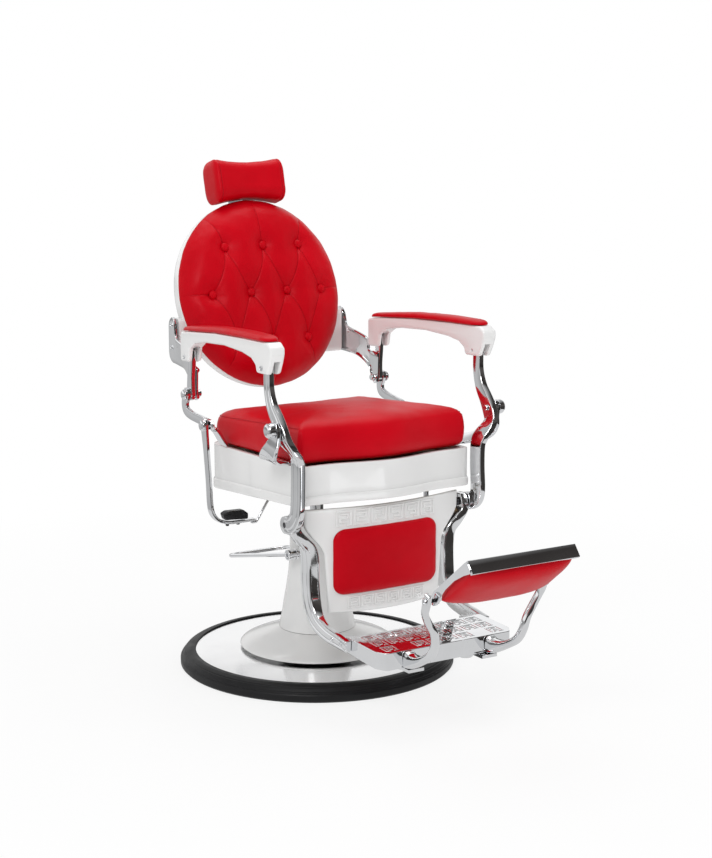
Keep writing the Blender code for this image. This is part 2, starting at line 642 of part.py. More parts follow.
def build_headrest():
    bar_y = SLIDE_BAR_SETBACK
    socket = on_back(block("headrest_socket", (-0.026, 0.0885, 0.095), (0.026, 0.1240, 0.195)))
    bore = on_back(block("socket_bore", (-0.0164, bar_y - 0.0044, 0.050), (0.0164, bar_y + 0.0044, 0.250)))
    bevel(socket, 0.003)
    assemble(cut(socket, bore), "backrest", "chrome")

    low, high = bar_y - 0.004, bar_y + 0.004
    slide = on_back(block("headrest_bar", (-0.016, low, 0.020), (0.016, high, HEADREST_RISE + 0.012)))
    assemble(slide, "headrest_slide", "chrome", None)

    front = HEADREST_BACK + 0.0425
    plate_low = (-0.060, front, HEADREST_RISE - 0.035)
    mount = on_back(block("headrest_plate", plate_low, (0.060, front + 0.004, HEADREST_RISE + 0.030)))
    for side, sign in SIDES:
        x0, x1 = sorted((sign * 0.0166, sign * 0.0226))
        lug_high = (x1, bar_y + 0.008, HEADREST_RISE + 0.012)
        lug = block("headrest_lug_" + side, (x0, front + 0.002, HEADREST_RISE - 0.012), lug_high)
        unite(mount, on_back(lug))
    assemble(mount, "headrest", "chrome", None)

    rings = []
    spans = 10
    for i in range(spans + 1):
        t = -1.0 + 2.0 * i / spans
        bulge = (1.0 - abs(t) ** 6) ** 0.5 if abs(t) < 1.0 else 0.0
        size = 0.80 + 0.20 * bulge
        half_d = 0.0415 * size
        top = (0.050 + 0.007 * t * t) * size
        bottom = (0.0400 + 0.0155 * t * t) * size
        outline = rounded([(-half_d, -bottom), (half_d, -bottom), (half_d, top), (-half_d, top)], 0.034, 3)
        x = HEADREST_HALF_W * t
        rings.append([(x, HEADREST_BACK + y, HEADREST_RISE + z) for y, z in outline])
    assemble(on_back(loft("headrest_cushion", rings)), "headrest", "red_leather")


# ---- front links, armrests -----------------------------------------------------------------------------------
def build_front_links():
    for side, sign in SIDES:
        path = [(0.2760, -0.2685, 0.7770), (0.2760, -0.2680, 0.7570), (0.2760, -0.2695, 0.7200)]
        path += [(0.2755, -0.2820, 0.6850), (0.2745, -0.3040, 0.6570), (0.2740, -0.3190, 0.6340)]
        path += [(0.2710, -0.3285, 0.6150), (0.2590, -0.3310, 0.5980), (0.2440, -0.3285, 0.5800)]
        path += [(0.2375, -0.3245, 0.5600), (0.2370, -0.3235, 0.5120), (0.2390, -0.3240, 0.4600)]
        path += [(0.2405, -0.3170, 0.4360), (0.2405, -0.2990, 0.4215), (0.2405, -0.2810, 0.4200)]
        upper = (0.0135, 0.00635)
        low = (FRAME_HALF_D, FRAME_HALF_T)
        halves = [upper, upper, (0.0140, 0.0065), (0.0155, 0.0072), (0.0180, FRAME_HALF_T)]
        halves += [low] * 7 + [(0.0200, FRAME_HALF_T), (0.0190, FRAME_HALF_T), (0.0185, FRAME_HALF_T)]
        link = bar("front_link_" + side, path, halves, (1.0, 0.0, 0.0), 1, 0.25, sign)
        knuckle = [(0.0, 0.2331), (0.0195, 0.2331), (0.0195, 0.2479), (0.0, 0.2479)]
        unite(link, pivot("front_knuckle_" + side, KNEE_AXIS, knuckle, sign, 18))
        drill(link, FRONT_AXIS, 0.0058)
        drill(link, KNEE_AXIS, 0.0065)
        drill(link, ARM_AXIS, 0.0036)
        assemble(link, "front_links", "chrome")

        profile = [(0.0, 0.2045), (0.0085, 0.2045), (0.0100, 0.2060), (0.0100, 0.2117)]
        profile += [(0.0060, 0.2117), (0.0060, 0.2470), (0.0, 0.2470)]
        assemble(pivot("knee_pin_" + side, KNEE_AXIS, profile, sign), "front_links", "dark_steel")


def arm_shift(y):
    """Armrests toe in towards the rear: their middle plane at a given y."""
    return 0.2755 - 0.0375 * (y - ARM_AXIS[1])


def build_armrests():
    top = [(0.158, 0.801), (0.112, 0.8065), (-0.032, 0.8180), (-0.177, 0.8235), (-0.295, 0.8255)]
    nose = [(-0.3115, 0.8150), (-0.3118, 0.8000), (-0.3035, 0.7790), (-0.2920, 0.7560)]
    under = [(-0.2400, 0.7545), (-0.2360, 0.7700), (-0.2150, 0.7830), (-0.1700, 0.7905)]
    under += [(-0.080, 0.7950), (0.020, 0.7900), (0.080, 0.7810), (0.106, 0.7660), (0.112, 0.7345)]
    under += [(0.158, 0.7315)]
    outline = rounded(top + nose + under, 0.008, 1)
    for side, sign in SIDES:
        rings = []
        for offset in (-0.0180, -0.0150, 0.0150, 0.0180):
            edge = 0.0028 if abs(offset) > 0.0160 else 0.0
            ring = []
            for (y, z), (ny, nz) in zip(outline, outline_normals(outline)):
                y -= ny * edge
                z -= nz * edge
                ring.append((sign * (arm_shift(y) + offset), y, z))
            rings.append(ring)
        shell = loft("armrest_" + side, rings)
        x = arm_shift(ARM_AXIS[1])
        low, high = sorted((sign * (x - 0.0074), sign * (x + 0.0074)))
        cut(shell, block("front_slot_" + side, (low, -0.330, 0.740), (high, -0.2485, 0.7845)))
        x = arm_shift(ARM_REAR_PIN[1])
        low, high = sorted((sign * (x - 0.0090), sign * (x + 0.0090)))
        cut(shell, block("rear_slot_" + side, (low, 0.090, 0.710), (high, 0.1500, 0.7690)))
        drill(shell, ARM_AXIS, 0.0036)
        assemble(shell, "armrests", "white_enamel")

        profile = [(0.0, 0.2585), (0.0033, 0.2585), (0.0033, 0.2945), (0.0060, 0.2945)]
        profile += [(0.0055, 0.2965), (0.0, 0.2975)]
        assemble(pivot("arm_screw_" + side, ARM_AXIS, profile, sign, 16), "front_links", "chrome")

        assemble(arm_pad("arm_pad_" + side, sign), "armrests", "red_leather")


def outline_normals(outline):
    """Outward unit normals of a closed clockwise or counter-clockwise outline."""
    count = len(outline)
    area = sum(outline[i - 1][0] * outline[i][1] - outline[i][0] * outline[i - 1][1] for i in range(count))
    turn = 1.0 if area > 0.0 else -1.0
    normals = []
    for i in range(count):
        dy = outline[(i + 1) % count][0] - outline[i - 1][0]
        dz = outline[(i + 1) % count][1] - outline[i - 1][1]
        length = hypot(dy, dz)
        normals.append((turn * dz / length, -turn * dy / length))
    return normals


def arm_pad(name, sign):
    """A crowned pad on the armrest, wider towards its front end."""
    stations = [(-0.2900, 0.8265, 0.30, 0.0020), (-0.2820, 0.8262, 0.80, 0.0050)]
    stations += [(-0.2550, 0.8255, 1.0, 0.0085), (-0.1770, 0.8242, 1.0, 0.0110)]
    stations += [(-0.1000, 0.8215, 0.97, 0.0120), (-0.0320, 0.8187, 0.92, 0.0115)]
    stations += [(0.0600, 0.8115, 0.86, 0.0100), (0.1250, 0.8065, 0.82, 0.0085)]
    stations += [(0.1450, 0.8045, 0.70, 0.0060), (0.1530, 0.8035, 0.35, 0.0025)]
    rings = []
    for y, z, width, crown in stations:
        half = 0.0225 * width
        x = arm_shift(y)
        ring = [(-half * 0.93, 0.0), (-half, 0.32), (-half * 0.80, 0.78), (-half * 0.38, 0.97)]
        ring += [(half * 0.38, 0.97), (half * 0.80, 0.78), (half, 0.32), (half * 0.93, 0.0)]
        rings.append([(sign * (x + dx), y, z + GAP + crown * rise) for dx, rise in ring])
    return loft(name, rings)


# ---- legrest ----------------------------------------------------------------------------------------------------
def panel_half_width(z):
    """Half width of the calf panel: straight sides that flare into wings at the top."""
    rise = min((z - PANEL_BOTTOM) / 0.138, 1.0)
    flare = min(max((z - 0.342) / 0.078, 0.0), 1.0)
    return 0.146 + 0.010 * rise + 0.0475 * flare * flare * (3.0 - 2.0 * flare)


def panel_face(x, z):
    """Front surface of the calf panel: upright, bowed forward in the middle."""
    return PANEL_Y - 0.016 * (1.0 - (x / 0.190) ** 2)


def grid_slab(name, outline_half, z_low, z_high, front, thickness, columns=10, rows=8):
    """A closed slab over a grid: half width and front offset are functions of height and width."""
    bm = bmesh.new()
    layers = []
    for layer in (0, 1):
        grid = []
        for r in range(rows + 1):
            z = z_low + (z_high - z_low) * r / rows
            half = outline_half(z)
            line = []
            for c in range(columns + 1):
                u = -1.0 + 2.0 * c / columns
                x = half * u
                y = panel_face(x, z) + (front(u, z) if layer == 0 else thickness)
                line.append(bm.verts.new((x, y, z)))
            grid.append(line)
        layers.append(grid)
    for grid in layers:
        for r in range(rows):
            for c in range(columns):
                bm.faces.new((grid[r][c], grid[r][c + 1], grid[r + 1][c + 1], grid[r + 1][c]))
    near, far = layers
    edge = [(0, c) for c in range(columns)] + [(r, columns) for r in range(rows)]
    edge += [(rows, c) for c in range(columns, 0, -1)] + [(r, 0) for r in range(rows, 0, -1)]
    for i, (r, c) in enumerate(edge):
        r2, c2 = edge[(i + 1) % len(edge)]
        bm.faces.new((near[r][c], near[r2][c2], far[r2][c2], far[r][c]))
    return make_object(name, bm)


def build_legrest():
    for side, sign in SIDES:
        path = [(0.2222, -0.2790, 0.4390), (0.2222, -0.2800, 0.4205), (0.2222, -0.2810, 0.4030)]
        path += [(0.2060, -0.2800, 0.3830), (0.1870, -0.2775, 0.3620), (0.1800, -0.2765, 0.3300)]
        path += [(0.1800, -0.2775, 0.2750), (0.1800, -0.2850, 0.2350), (0.1815, -0.3080, 0.2020)]
        path += [(0.1830, -0.3500, 0.1850), (0.1830, -0.4000, 0.1795), (0.1830, -0.4400, 0.1760)]
        halves = [(0.0120, 0.0088), (0.0185, 0.0092), (0.0190, 0.0096), (0.0195, 0.0120)]
        halves += [(0.0200, 0.0136), (0.0205, 0.0150), (0.0205, 0.0150), (0.0205, 0.0140)]
        halves += [(0.0200, 0.0110), (0.0170, 0.0078), (0.0150, 0.0078), (0.0125, 0.0078)]
        arm = bar("leg_arm_" + side, path, halves, (1.0, 0.0, 0.0), 1, 0.25, sign)
        drill(arm, KNEE_AXIS, 0.0065)
        assemble(arm, "legrest", "chrome")

    panel = grid_slab("calf_panel", panel_half_width, PANEL_BOTTOM, PANEL_TOP, lambda u, z: 0.0, PANEL_THICK, 8, 8)
    assemble(panel, "legrest", "white_enamel")

    def pad_half(z):
        middle = (0.256 + 0.413) / 2.0
        reach = abs(z - middle) / 0.0787
        corner = max(reach - 0.62, 0.0) / 0.38
        return 0.134 - 0.026 * (1.0 - max(1.0 - corner * corner, 0.0) ** 0.5)

    def pad_front(u, z):
        middle = (0.256 + 0.413) / 2.0
        reach = abs(z - middle) / 0.0787
        return -2.0 * GAP - 0.004 - 0.011 * (1.0 - abs(u) ** 4) * (1.0 - min(reach, 1.0) ** 4)

    pad = grid_slab("calf_pad", pad_half, 0.256, 0.413, pad_front, -2.0 * GAP, 8, 8)
    assemble(pad, "legrest", "red_leather")

    place = Matrix.Translation((0.120, -0.2880, 0.0))
    profile = [(0.0, 0.400), (0.0060, 0.400), (0.0060, 0.4560), (0.0040, 0.4575), (0.0, 0.4575)]
    assemble(turned("calf_stop", profile, 12, place), "legrest", "chrome")


def build_footplate():
    plan = [(PLATE_BACK, FOOT_TOP), (PLATE_FRONT, FOOT_TOP - 0.004), (PLATE_FRONT, FOOT_BOTTOM)]
    plan += [(-0.470, FOOT_BOTTOM + 0.004), (-0.3750, 0.160), (-0.3750, 0.178), (-0.415, 0.190)]
    body = plate("footplate", plan, -FOOT_HALF_W, FOOT_HALF_W)
    cut(body, block("footplate_hollow", (-0.1620, -0.5480, 0.120), (0.1620, PLATE_BACK - 0.008, 0.1800)))
    cut(body, block("footplate_notch", (-0.1540, PLATE_BACK, 0.120), (0.1540, -0.340, 0.220)))
    assemble(body, "legrest", "chrome", None)

    for side, sign in SIDES:
        path = [(0.1060, PLATE_FRONT - 0.0020, 0.1680), (0.1065, -0.5780, 0.1680)]
        path += [(0.1090, -0.6130, 0.1790), (0.1110, -0.6500, 0.2000), (0.1130, -0.6690, 0.2270)]
        path += [(0.1190, -0.6740, 0.2550), (0.1340, -0.6750, 0.2800), (0.1450, -0.6790, 0.3020)]
        path += [(0.1480, -0.6880, 0.3220), (0.1480, -0.6960, 0.3440)]
        halves = [(0.0195, 0.0150), (0.0160, 0.0135), (0.0088, 0.0105), (0.0080, 0.0095)]
        halves += [(0.0080, 0.0085), (0.0080, 0.0080), (0.0080, 0.0075), (0.0085, 0.0065)]
        halves += [(0.0100, 0.0060), (0.0095, 0.0055)]
        yoke = bar("yoke_arm_" + side, path, halves, (1.0, 0.0, 0.0), 1, 0.3, sign)
        x0, x1 = sorted((sign * 0.0760, sign * 0.1150))
        unite(yoke, block("yoke_tongue_" + side, (x0, -0.5750, 0.1420), (x1, -0.4980, 0.1490)))
        place = Matrix.Translation((sign * 0.0806, -0.505, 0.0))
        disc = [(0.0, 0.1290), (0.0150, 0.1290), (0.0170, 0.1310), (0.0170, 0.1487), (0.0, 0.1487)]
        unite(yoke, turned("yoke_disc_" + side, disc, 20, place))
        drill(yoke, FLIP_AXIS, 0.0045)
        assemble(yoke, "legrest", "chrome")


def build_foot_cushion():
    """Folding cushion: a chrome tray on two lugs with a padded face on its under side."""
    along = Vector((0.0, -cos(FLIP_SLOPE), sin(FLIP_SLOPE)))
    out = Vector((0.0, -sin(FLIP_SLOPE), -cos(FLIP_SLOPE)))
    hinge = Vector(FLIP_AXIS)

    def at(x, s, t):
        point = hinge + along * s + out * t
        return (x, point.y, point.z)

    def slab(name, half, s0, s1, t0, t1):
        corners = [(s0, t0), (s1, t0), (s1, t1), (s0, t1)]
        return loft(name, [[at(x, s, t) for s, t in corners] for x in (-half, half)])

    tray = slab("foot_tray", FLIP_HALF_W, 0.0135, FLIP_LENGTH, -0.014, -0.004)
    lip = slab("foot_tray_lip", FLIP_HALF_W, FLIP_LENGTH - 0.006, FLIP_LENGTH + 0.002, -0.014, 0.016)
    unite(tray, lip)
    for side, sign in SIDES:
        x0, x1 = sorted((sign * (FLIP_HALF_W - 0.006), sign * (FLIP_HALF_W + 0.0015)))
        corners = [(-0.010, -0.009), (0.012, -0.014), (FLIP_LENGTH, -0.0138), (FLIP_LENGTH, 0.014)]
        corners += [(0.020, 0.012), (-0.004, 0.011), (-0.011, 0.002)]
        cheek = loft("foot_tray_cheek_" + side, [[at(x, s, t) for s, t in corners] for x in (x0, x1)])
        unite(tray, cheek)
    drill(tray, FLIP_AXIS, 0.0045)
    assemble(tray, "foot_cushion", "chrome", None)

    half = FLIP_HALF_W - 0.0065
    rings = []
    swells = [(0.35, 1.0), (0.75, 0.9), (0.93, 0.6), (1.0, 0.0)]
    swells = [(-share, swell) for share, swell in reversed(swells)] + swells
    for x_share, swell in swells:
        t1 = 0.020 + 0.012 * swell
        outline = [(0.0140, -0.0034), (FLIP_LENGTH - 0.0066, -0.0034), (FLIP_LENGTH - 0.0066, 0.014)]
        outline += [(FLIP_LENGTH - 0.018, t1 * 0.86), (FLIP_LENGTH * 0.70, t1), (FLIP_LENGTH * 0.35, t1)]
        outline += [(0.022, t1 * 0.92), (0.0125, t1 * 0.62)]
        rings.append([at(half * x_share, s, t) for s, t in outline])
    assemble(loft("foot_pad", rings), "foot_cushion", "red_leather")

    for side, sign in SIDES:
        profile = [(0.0, 0.1240), (0.0085, 0.1240), (0.0085, 0.1272), (0.0040, 0.1272), (0.0040, 0.1545)]
        profile += [(0.0080, 0.1545), (0.0070, 0.1580), (0.0, 0.1590)]
        pin = pivot("foot_pin_" + side, FLIP_AXIS, profile, sign, 16)
        assemble(pin, "legrest", "black_plastic")


def main():
    clear_scene()
    make_finishes()
    make_axes()
    build_base()
    build_pump()
    build_pump_lever()
    build_seat_base()
    build_seat_cushion()
    build_seat_brackets()
    build_recline_lock()
    build_backrest()
    build_headrest()
    build_front_links()
    build_armrests()
    build_legrest()
    build_footplate()
    build_foot_cushion()


main()
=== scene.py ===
"""Looks of the hydraulic barber chair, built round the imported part.

Frame: metres, +Z up, the sitter faces -Y and +X is the sitter's left. Pieces named _left lie at +X.
Each piece rides on the body that carries it, and stands for the plain solid it covers.
"""

import json
from math import cos, exp, hypot, pi, radians, sin, sqrt, tan

import bmesh
import bpy
import numpy as np
from mathutils import Matrix, Vector, noise
from mathutils.bvhtree import BVHTree


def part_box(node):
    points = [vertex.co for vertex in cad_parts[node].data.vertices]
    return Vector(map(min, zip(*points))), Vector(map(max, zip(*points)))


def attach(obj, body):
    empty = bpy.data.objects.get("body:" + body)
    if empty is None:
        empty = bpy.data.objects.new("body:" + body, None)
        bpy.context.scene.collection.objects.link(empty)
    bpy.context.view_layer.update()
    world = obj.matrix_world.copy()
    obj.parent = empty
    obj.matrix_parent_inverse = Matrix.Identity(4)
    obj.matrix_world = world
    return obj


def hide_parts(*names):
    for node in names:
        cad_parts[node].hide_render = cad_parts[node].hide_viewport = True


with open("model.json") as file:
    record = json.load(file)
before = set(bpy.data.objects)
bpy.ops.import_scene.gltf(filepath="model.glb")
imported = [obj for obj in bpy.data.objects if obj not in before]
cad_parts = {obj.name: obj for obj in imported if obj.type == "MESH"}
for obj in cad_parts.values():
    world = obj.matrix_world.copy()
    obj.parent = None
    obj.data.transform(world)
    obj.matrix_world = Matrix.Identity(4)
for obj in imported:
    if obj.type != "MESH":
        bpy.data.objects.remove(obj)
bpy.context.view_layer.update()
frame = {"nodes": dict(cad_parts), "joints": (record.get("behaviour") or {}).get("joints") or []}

SIDES = (("left", 1.0), ("right", -1.0))
JOINTS = {joint["name"]: joint for joint in frame["joints"]}
AXIS = {name: Vector(joint["pos_m"]) for name, joint in JOINTS.items() if "pos_m" in joint}
TO_X = Matrix.Rotation(pi / 2, 4, "Y")
TO_Y = Matrix.Rotation(-pi / 2, 4, "X")
BACK_CENTRE = Vector((0.0, 0.225, 0.8755))
BACK_LEAN = radians(15.7)
BACK = Matrix.Translation(BACK_CENTRE) @ Matrix.Rotation(-BACK_LEAN, 4, "X")
DISC_RISE = 0.005
DISC_OVAL = (0.965, 1.0, 1.017)
DISC = BACK @ Matrix.Translation((0.0, 0.0, DISC_RISE)) @ Matrix.Diagonal((*DISC_OVAL, 1.0))


# ---- materials -----------------------------------------------------------------------
def add_node(tree, kind, inputs=None, **settings):
    """A shader node whose inputs are values or other nodes' sockets."""
    made = tree.nodes.new("ShaderNode" + kind)
    for key, value in settings.items():
        setattr(made, key, value)
    for key, value in (inputs or {}).items():
        if isinstance(value, bpy.types.NodeSocket):
            tree.links.new(value, made.inputs[key])
        else:
            made.inputs[key].default_value = value
    return made


def object_coordinates(tree, scale=(1.0, 1.0, 1.0)):
    source = add_node(tree, "TexCoord").outputs["Object"]
    return add_node(tree, "Mapping", {"Vector": source, "Scale": scale}).outputs["Vector"]


def noise_value(tree, vector, scale, detail=3.0, rough=0.5):
    inputs = {"Vector": vector, "Scale": scale, "Detail": detail, "Roughness": rough}
    return add_node(tree, "TexNoise", inputs).outputs["Fac"]


def ramp(tree, value, stops):
    """Colour ramp; a stop's colour is a grey level or an (r, g, b)."""
    made = add_node(tree, "ValToRGB", {"Fac": value})
    elements = made.color_ramp.elements
    while len(elements) < len(stops):
        elements.new(0.5)
    for element, (place, colour) in zip(elements, stops):
        element.position = place
        grey = not isinstance(colour, tuple)
        element.color = (colour,) * 3 + (1.0,) if grey else (*colour, 1.0)
    return made.outputs["Color"]


def arithmetic(tree, operation, a, b):
    return add_node(tree, "Math", {0: a, 1: b}, operation=operation).outputs[0]


def remap(tree, value, start, end, low, high):
    """The value's range start..end stretched to low..high."""
    return add_node(tree, "MapRange", {0: value, 1: start, 2: end, 3: low, 4: high}).outputs[0]


def multiply(tree, under, over, share=1.0):
    """One colour multiplied by another."""
    inputs = {6: under, 7: over, 0: share}
    return add_node(tree, "Mix", inputs, data_type="RGBA", blend_type="MULTIPLY").outputs[2]


def painted_hollow_shade(tree, stops):
    """Painted shade: grey that darkens the colour where the surface folds inward."""
    return ramp(tree, add_node(tree, "NewGeometry").outputs["Pointiness"], stops)


def bump(tree, height, strength, distance, under=None):
    inputs = {"Height": height, "Strength": strength, "Distance": distance}
    if under is not None:
        inputs["Normal"] = under
    return add_node(tree, "Bump", inputs).outputs["Normal"]


def start_material(name, settings):
    material = bpy.data.materials.new(name)
    material.use_nodes = True
    shader = material.node_tree.nodes["Principled BSDF"]
    for key, value in settings.items():
        shader.inputs[key].default_value = value
    return material, material.node_tree, shader


def feed(tree, shader, **sockets):
    names = {"colour": "Base Color", "rough": "Roughness", "normal": "Normal", "coat": "Coat Roughness"}
    for key, socket in sockets.items():
        tree.links.new(socket, shader.inputs[names[key]])


def chrome_material(name, colour, low, high):
    """Plated metal: clouded polish, hairline scratches, and painted shade darkening its hollows."""
    material, tree, shader = start_material(name, {"Metallic": 1.0})
    spot = object_coordinates(tree)
    cloud = noise_value(tree, spot, 16.0, 4.0, 0.6)
    tint = ramp(tree, cloud, [(0.3, tuple(c * 0.94 for c in colour)), (0.7, colour)])
    # painted shade: the tint is darkened where the surface folds inward
    mixed = multiply(tree, tint, painted_hollow_shade(tree, [(0.42, 0.72), (0.5, 1.0)]))
    rough = remap(tree, cloud, 0.35, 0.75, low, high)
    hairs = noise_value(tree, object_coordinates(tree, (60.0, 900.0, 60.0)), 1.0, 2.0)
    normal = bump(tree, hairs, 0.035, 0.0001)
    feed(tree, shader, colour=mixed, rough=rough, normal=normal)
    return material


def enamel_material(name, colour):
    """Sprayed gloss enamel: a clear coat over a faint orange peel."""
    settings = {"Coat Weight": 0.7, "Coat Roughness": 0.04, "Specular IOR Level": 0.5}
    material, tree, shader = start_material(name, settings)
    spot = object_coordinates(tree)
    cloud = noise_value(tree, spot, 5.0, 5.0, 0.6)
    tint = ramp(tree, cloud, [(0.3, tuple(c * 0.965 for c in colour)), (0.7, colour)])
    # painted shade: the tint is darkened where the surface folds inward
    mixed = multiply(tree, tint, painted_hollow_shade(tree, [(0.4, 0.8), (0.49, 1.0)]))
    rough = remap(tree, cloud, 0.3, 0.7, 0.16, 0.26)
    peel = noise_value(tree, spot, 190.0, 2.0)
    normal = bump(tree, peel, 0.1, 0.00025)
    feed(tree, shader, colour=mixed, rough=rough, normal=normal)
    return material


def leather_material(name, dark, light):
    """Semi-gloss upholstery leather: pebbled grain, pores, soft creases and worn gloss, with painted shade
    darkening the grain's valleys and the surface's hollows.
    """
    settings = {"Coat Weight": 0.04, "Coat Roughness": 0.3, "Specular IOR Level": 0.26}
    settings["Specular Tint"] = (1.0, 0.24, 0.3, 1.0)
    material, tree, shader = start_material(name, settings)
    spot = object_coordinates(tree)
    cloud = noise_value(tree, spot, 7.0, 4.0, 0.55)
    pebbles = add_node(tree, "TexVoronoi", {"Vector": spot, "Scale": 620.0}, feature="SMOOTH_F1")
    edges = add_node(tree, "TexVoronoi", {"Vector": spot, "Scale": 620.0}, feature="DISTANCE_TO_EDGE")
    seams = ramp(tree, edges.outputs["Distance"], [(0.0, 0.0), (0.12, 1.0)])
    tint = ramp(tree, cloud, [(0.25, dark), (0.75, light)])
    # painted shade: the colour darkens in the valleys between the grain's pebbles
    grain_valley_shade = ramp(tree, edges.outputs["Distance"], [(0.0, 0.9), (0.06, 1.0)])
    mixed = multiply(tree, tint, grain_valley_shade)
    # painted shade: the colour darkens where the surface folds inward
    shaded = multiply(tree, mixed, painted_hollow_shade(tree, [(0.44, 0.62), (0.495, 1.0)]))
    rough = remap(tree, cloud, 0.25, 0.75, 0.34, 0.46)
    folds = noise_value(tree, object_coordinates(tree, (1.0, 1.6, 2.4)), 34.0, 5.0, 0.62)
    normal = bump(tree, folds, 0.2, 0.0016)
    normal = bump(tree, seams, 0.18, 0.00022, normal)
    normal = bump(tree, pebbles.outputs["Distance"], 0.16, 0.0003, normal)
    feed(tree, shader, colour=shaded, rough=rough, normal=normal)
    return material


def satin_material(name, colour, rough_range, grain, depth, metallic=0.0):
    """Moulded rubber, plastic or satin paint: a fine pebbled skin with uneven sheen."""
    material, tree, shader = start_material(name, {"Metallic": metallic, "Specular IOR Level": 0.3})
    spot = object_coordinates(tree)
    cloud = noise_value(tree, spot, 22.0, 5.0, 0.6)
    dark, light = (tuple(c * share for c in colour) for share in (0.75, 1.25))
    tint = ramp(tree, cloud, [(0.3, dark), (0.75, light)])
    rough = remap(tree, cloud, 0.3, 0.7, *rough_range)
    skin = noise_value(tree, spot, grain, 3.0, 0.6)
    feed(tree, shader, colour=tint, rough=rough, normal=bump(tree, skin, 0.3, depth))
    return material


def turned_steel_material(name):
    """Polished floor plate: the lathe left faint rings round the centre."""
    settings = {"Metallic": 1.0, "Anisotropic": 0.35}
    material, tree, shader = start_material(name, settings)
    spot = object_coordinates(tree, (1.0, 1.0, 0.0))
    radius = add_node(tree, "VectorMath", {0: spot}, operation="LENGTH").outputs["Value"]
    rings = noise_value(tree, add_node(tree, "CombineXYZ", {0: radius}).outputs[0], 900.0, 4.0, 0.7)
    cloud = noise_value(tree, object_coordinates(tree), 9.0, 4.0, 0.6)
    tint = ramp(tree, rings, [(0.3, (0.9, 0.9, 0.905)), (0.7, (0.96, 0.96, 0.965))])
    rough = remap(tree, cloud, 0.3, 0.7, 0.1, 0.19)
    normal = bump(tree, rings, 0.06, 0.00012)
    tangent = add_node(tree, "Tangent", direction_type="RADIAL", axis="Z")
    tree.links.new(tangent.outputs[0], shader.inputs["Tangent"])
    feed(tree, shader, colour=tint, rough=rough, normal=normal)
    return material


def plywood_material(name):
    """Bare plywood: long grain on the faces and plies along the edges."""
    material, tree, shader = start_material(name, {"Roughness": 0.6})
    figure = noise_value(tree, object_coordinates(tree, (3.0, 22.0, 22.0)), 2.4, 6.0, 0.65)
    inputs = {"Vector": object_coordinates(tree), "Scale": 95.0, "Distortion": 0.3}
    plies = add_node(tree, "TexWave", inputs, bands_direction="Z")
    veneer = ramp(tree, figure, [(0.3, (0.36, 0.23, 0.12)), (0.7, (0.58, 0.41, 0.24))])
    glue = ramp(tree, plies.outputs["Fac"], [(0.0, 0.7), (0.35, 1.0)])
    feed(tree, shader, colour=multiply(tree, veneer, glue, 0.8), normal=bump(tree, figure, 0.25, 0.0004))
    return material


CHROME = chrome_material("chrome", (0.86, 0.87, 0.89), 0.03, 0.085)
CASTING = chrome_material("polished_casting", (0.86, 0.87, 0.885), 0.035, 0.105)
STEEL = turned_steel_material("polished_steel")
DARK_STEEL = satin_material("dark_steel", (0.055, 0.055, 0.06), (0.28, 0.42), 400.0, 0.0002, 0.6)
ENAMEL = enamel_material("white_enamel", (0.88, 0.88, 0.875))
WHITE_CASTING = enamel_material("white_casting", (0.88, 0.88, 0.875))
LEATHER = leather_material("red_leather", (0.5, 0.0004, 0.006), (0.62, 0.0008, 0.009))
THREAD = satin_material("thread", (0.42, 0.006, 0.014), (0.45, 0.6), 1500.0, 0.0001)
RUBBER = satin_material("rubber", (0.008, 0.008, 0.009), (0.36, 0.55), 700.0, 0.0002)
PLASTIC = satin_material("black_plastic", (0.012, 0.012, 0.013), (0.2, 0.36), 900.0, 0.00015)
PLYWOOD = plywood_material("plywood")


def piece(name, verts, faces, material, body, stands_for=(), sharp=38.0):
    """A new piece from vertices and faces, riding on a body."""
    mesh = bpy.data.meshes.new(name)
    mesh.from_pydata([tuple(v) for v in verts], [], faces)
    bm = bmesh.new()
    bm.from_mesh(mesh)
    bmesh.ops.recalc_face_normals(bm, faces=bm.faces)
    bm.to_mesh(mesh)
    bm.free()
    mesh.shade_smooth()
    mesh.set_sharp_from_angle(angle=radians(sharp))
    mesh.materials.append(material)
    obj = bpy.data.objects.new(name, mesh)
    bpy.context.scene.collection.objects.link(obj)
    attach(obj, body)
    if stands_for:
        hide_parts(*stands_for)
    return obj


def skin(rings, wrap=False):
    """Faces over equal rings of vertices, numbered ring by ring."""
    count = len(rings[0])
    faces = []
    spans = len(rings) if wrap else len(rings) - 1
    for i in range(spans):
        a, b = i * count, (i + 1) % len(rings) * count
        for j in range(count):
            k = (j + 1) % count
            faces.append((a + j, a + k, b + k, b + j))
    if not wrap:
        faces.append(tuple(range(count))[::-1])
        faces.append(tuple(range((len(rings) - 1) * count, len(rings) * count)))
    return faces


def loft(name, rings, material, body, stands_for=(), wrap=False, sharp=38.0):
    """A closed piece through rings of points; wrap joins the last ring to the first."""
    verts = [point for ring in rings for point in ring]
    return piece(name, verts, skin(rings, wrap=wrap), material, body, stands_for, sharp)


def rounded(corners, radius, steps=5, keep=None):
    """A closed outline whose corners become arcs; keep says which corners stay sharp."""
    outline = []
    count = len(corners)
    for i in range(count):
        here = Vector(corners[i])
        if keep and keep(corners[i]):
            outline.append(tuple(here))
            continue
        before = Vector(corners[i - 1]) - here
        after = Vector(corners[(i + 1) % count]) - here
        half = before.angle(after) / 2.0
        if half > 1.5:
            outline.append(tuple(here))
            continue
        reach = min(radius / tan(half), before.length * 0.46, after.length * 0.46)
        start = here + before.normalized() * reach
        end = here + after.normalized() * reach
        for step in range(steps + 1):
            t = step / steps
            outline.append(tuple(start * (1 - t) ** 2 + here * 2 * t * (1 - t) + end * t ** 2))
    return outline


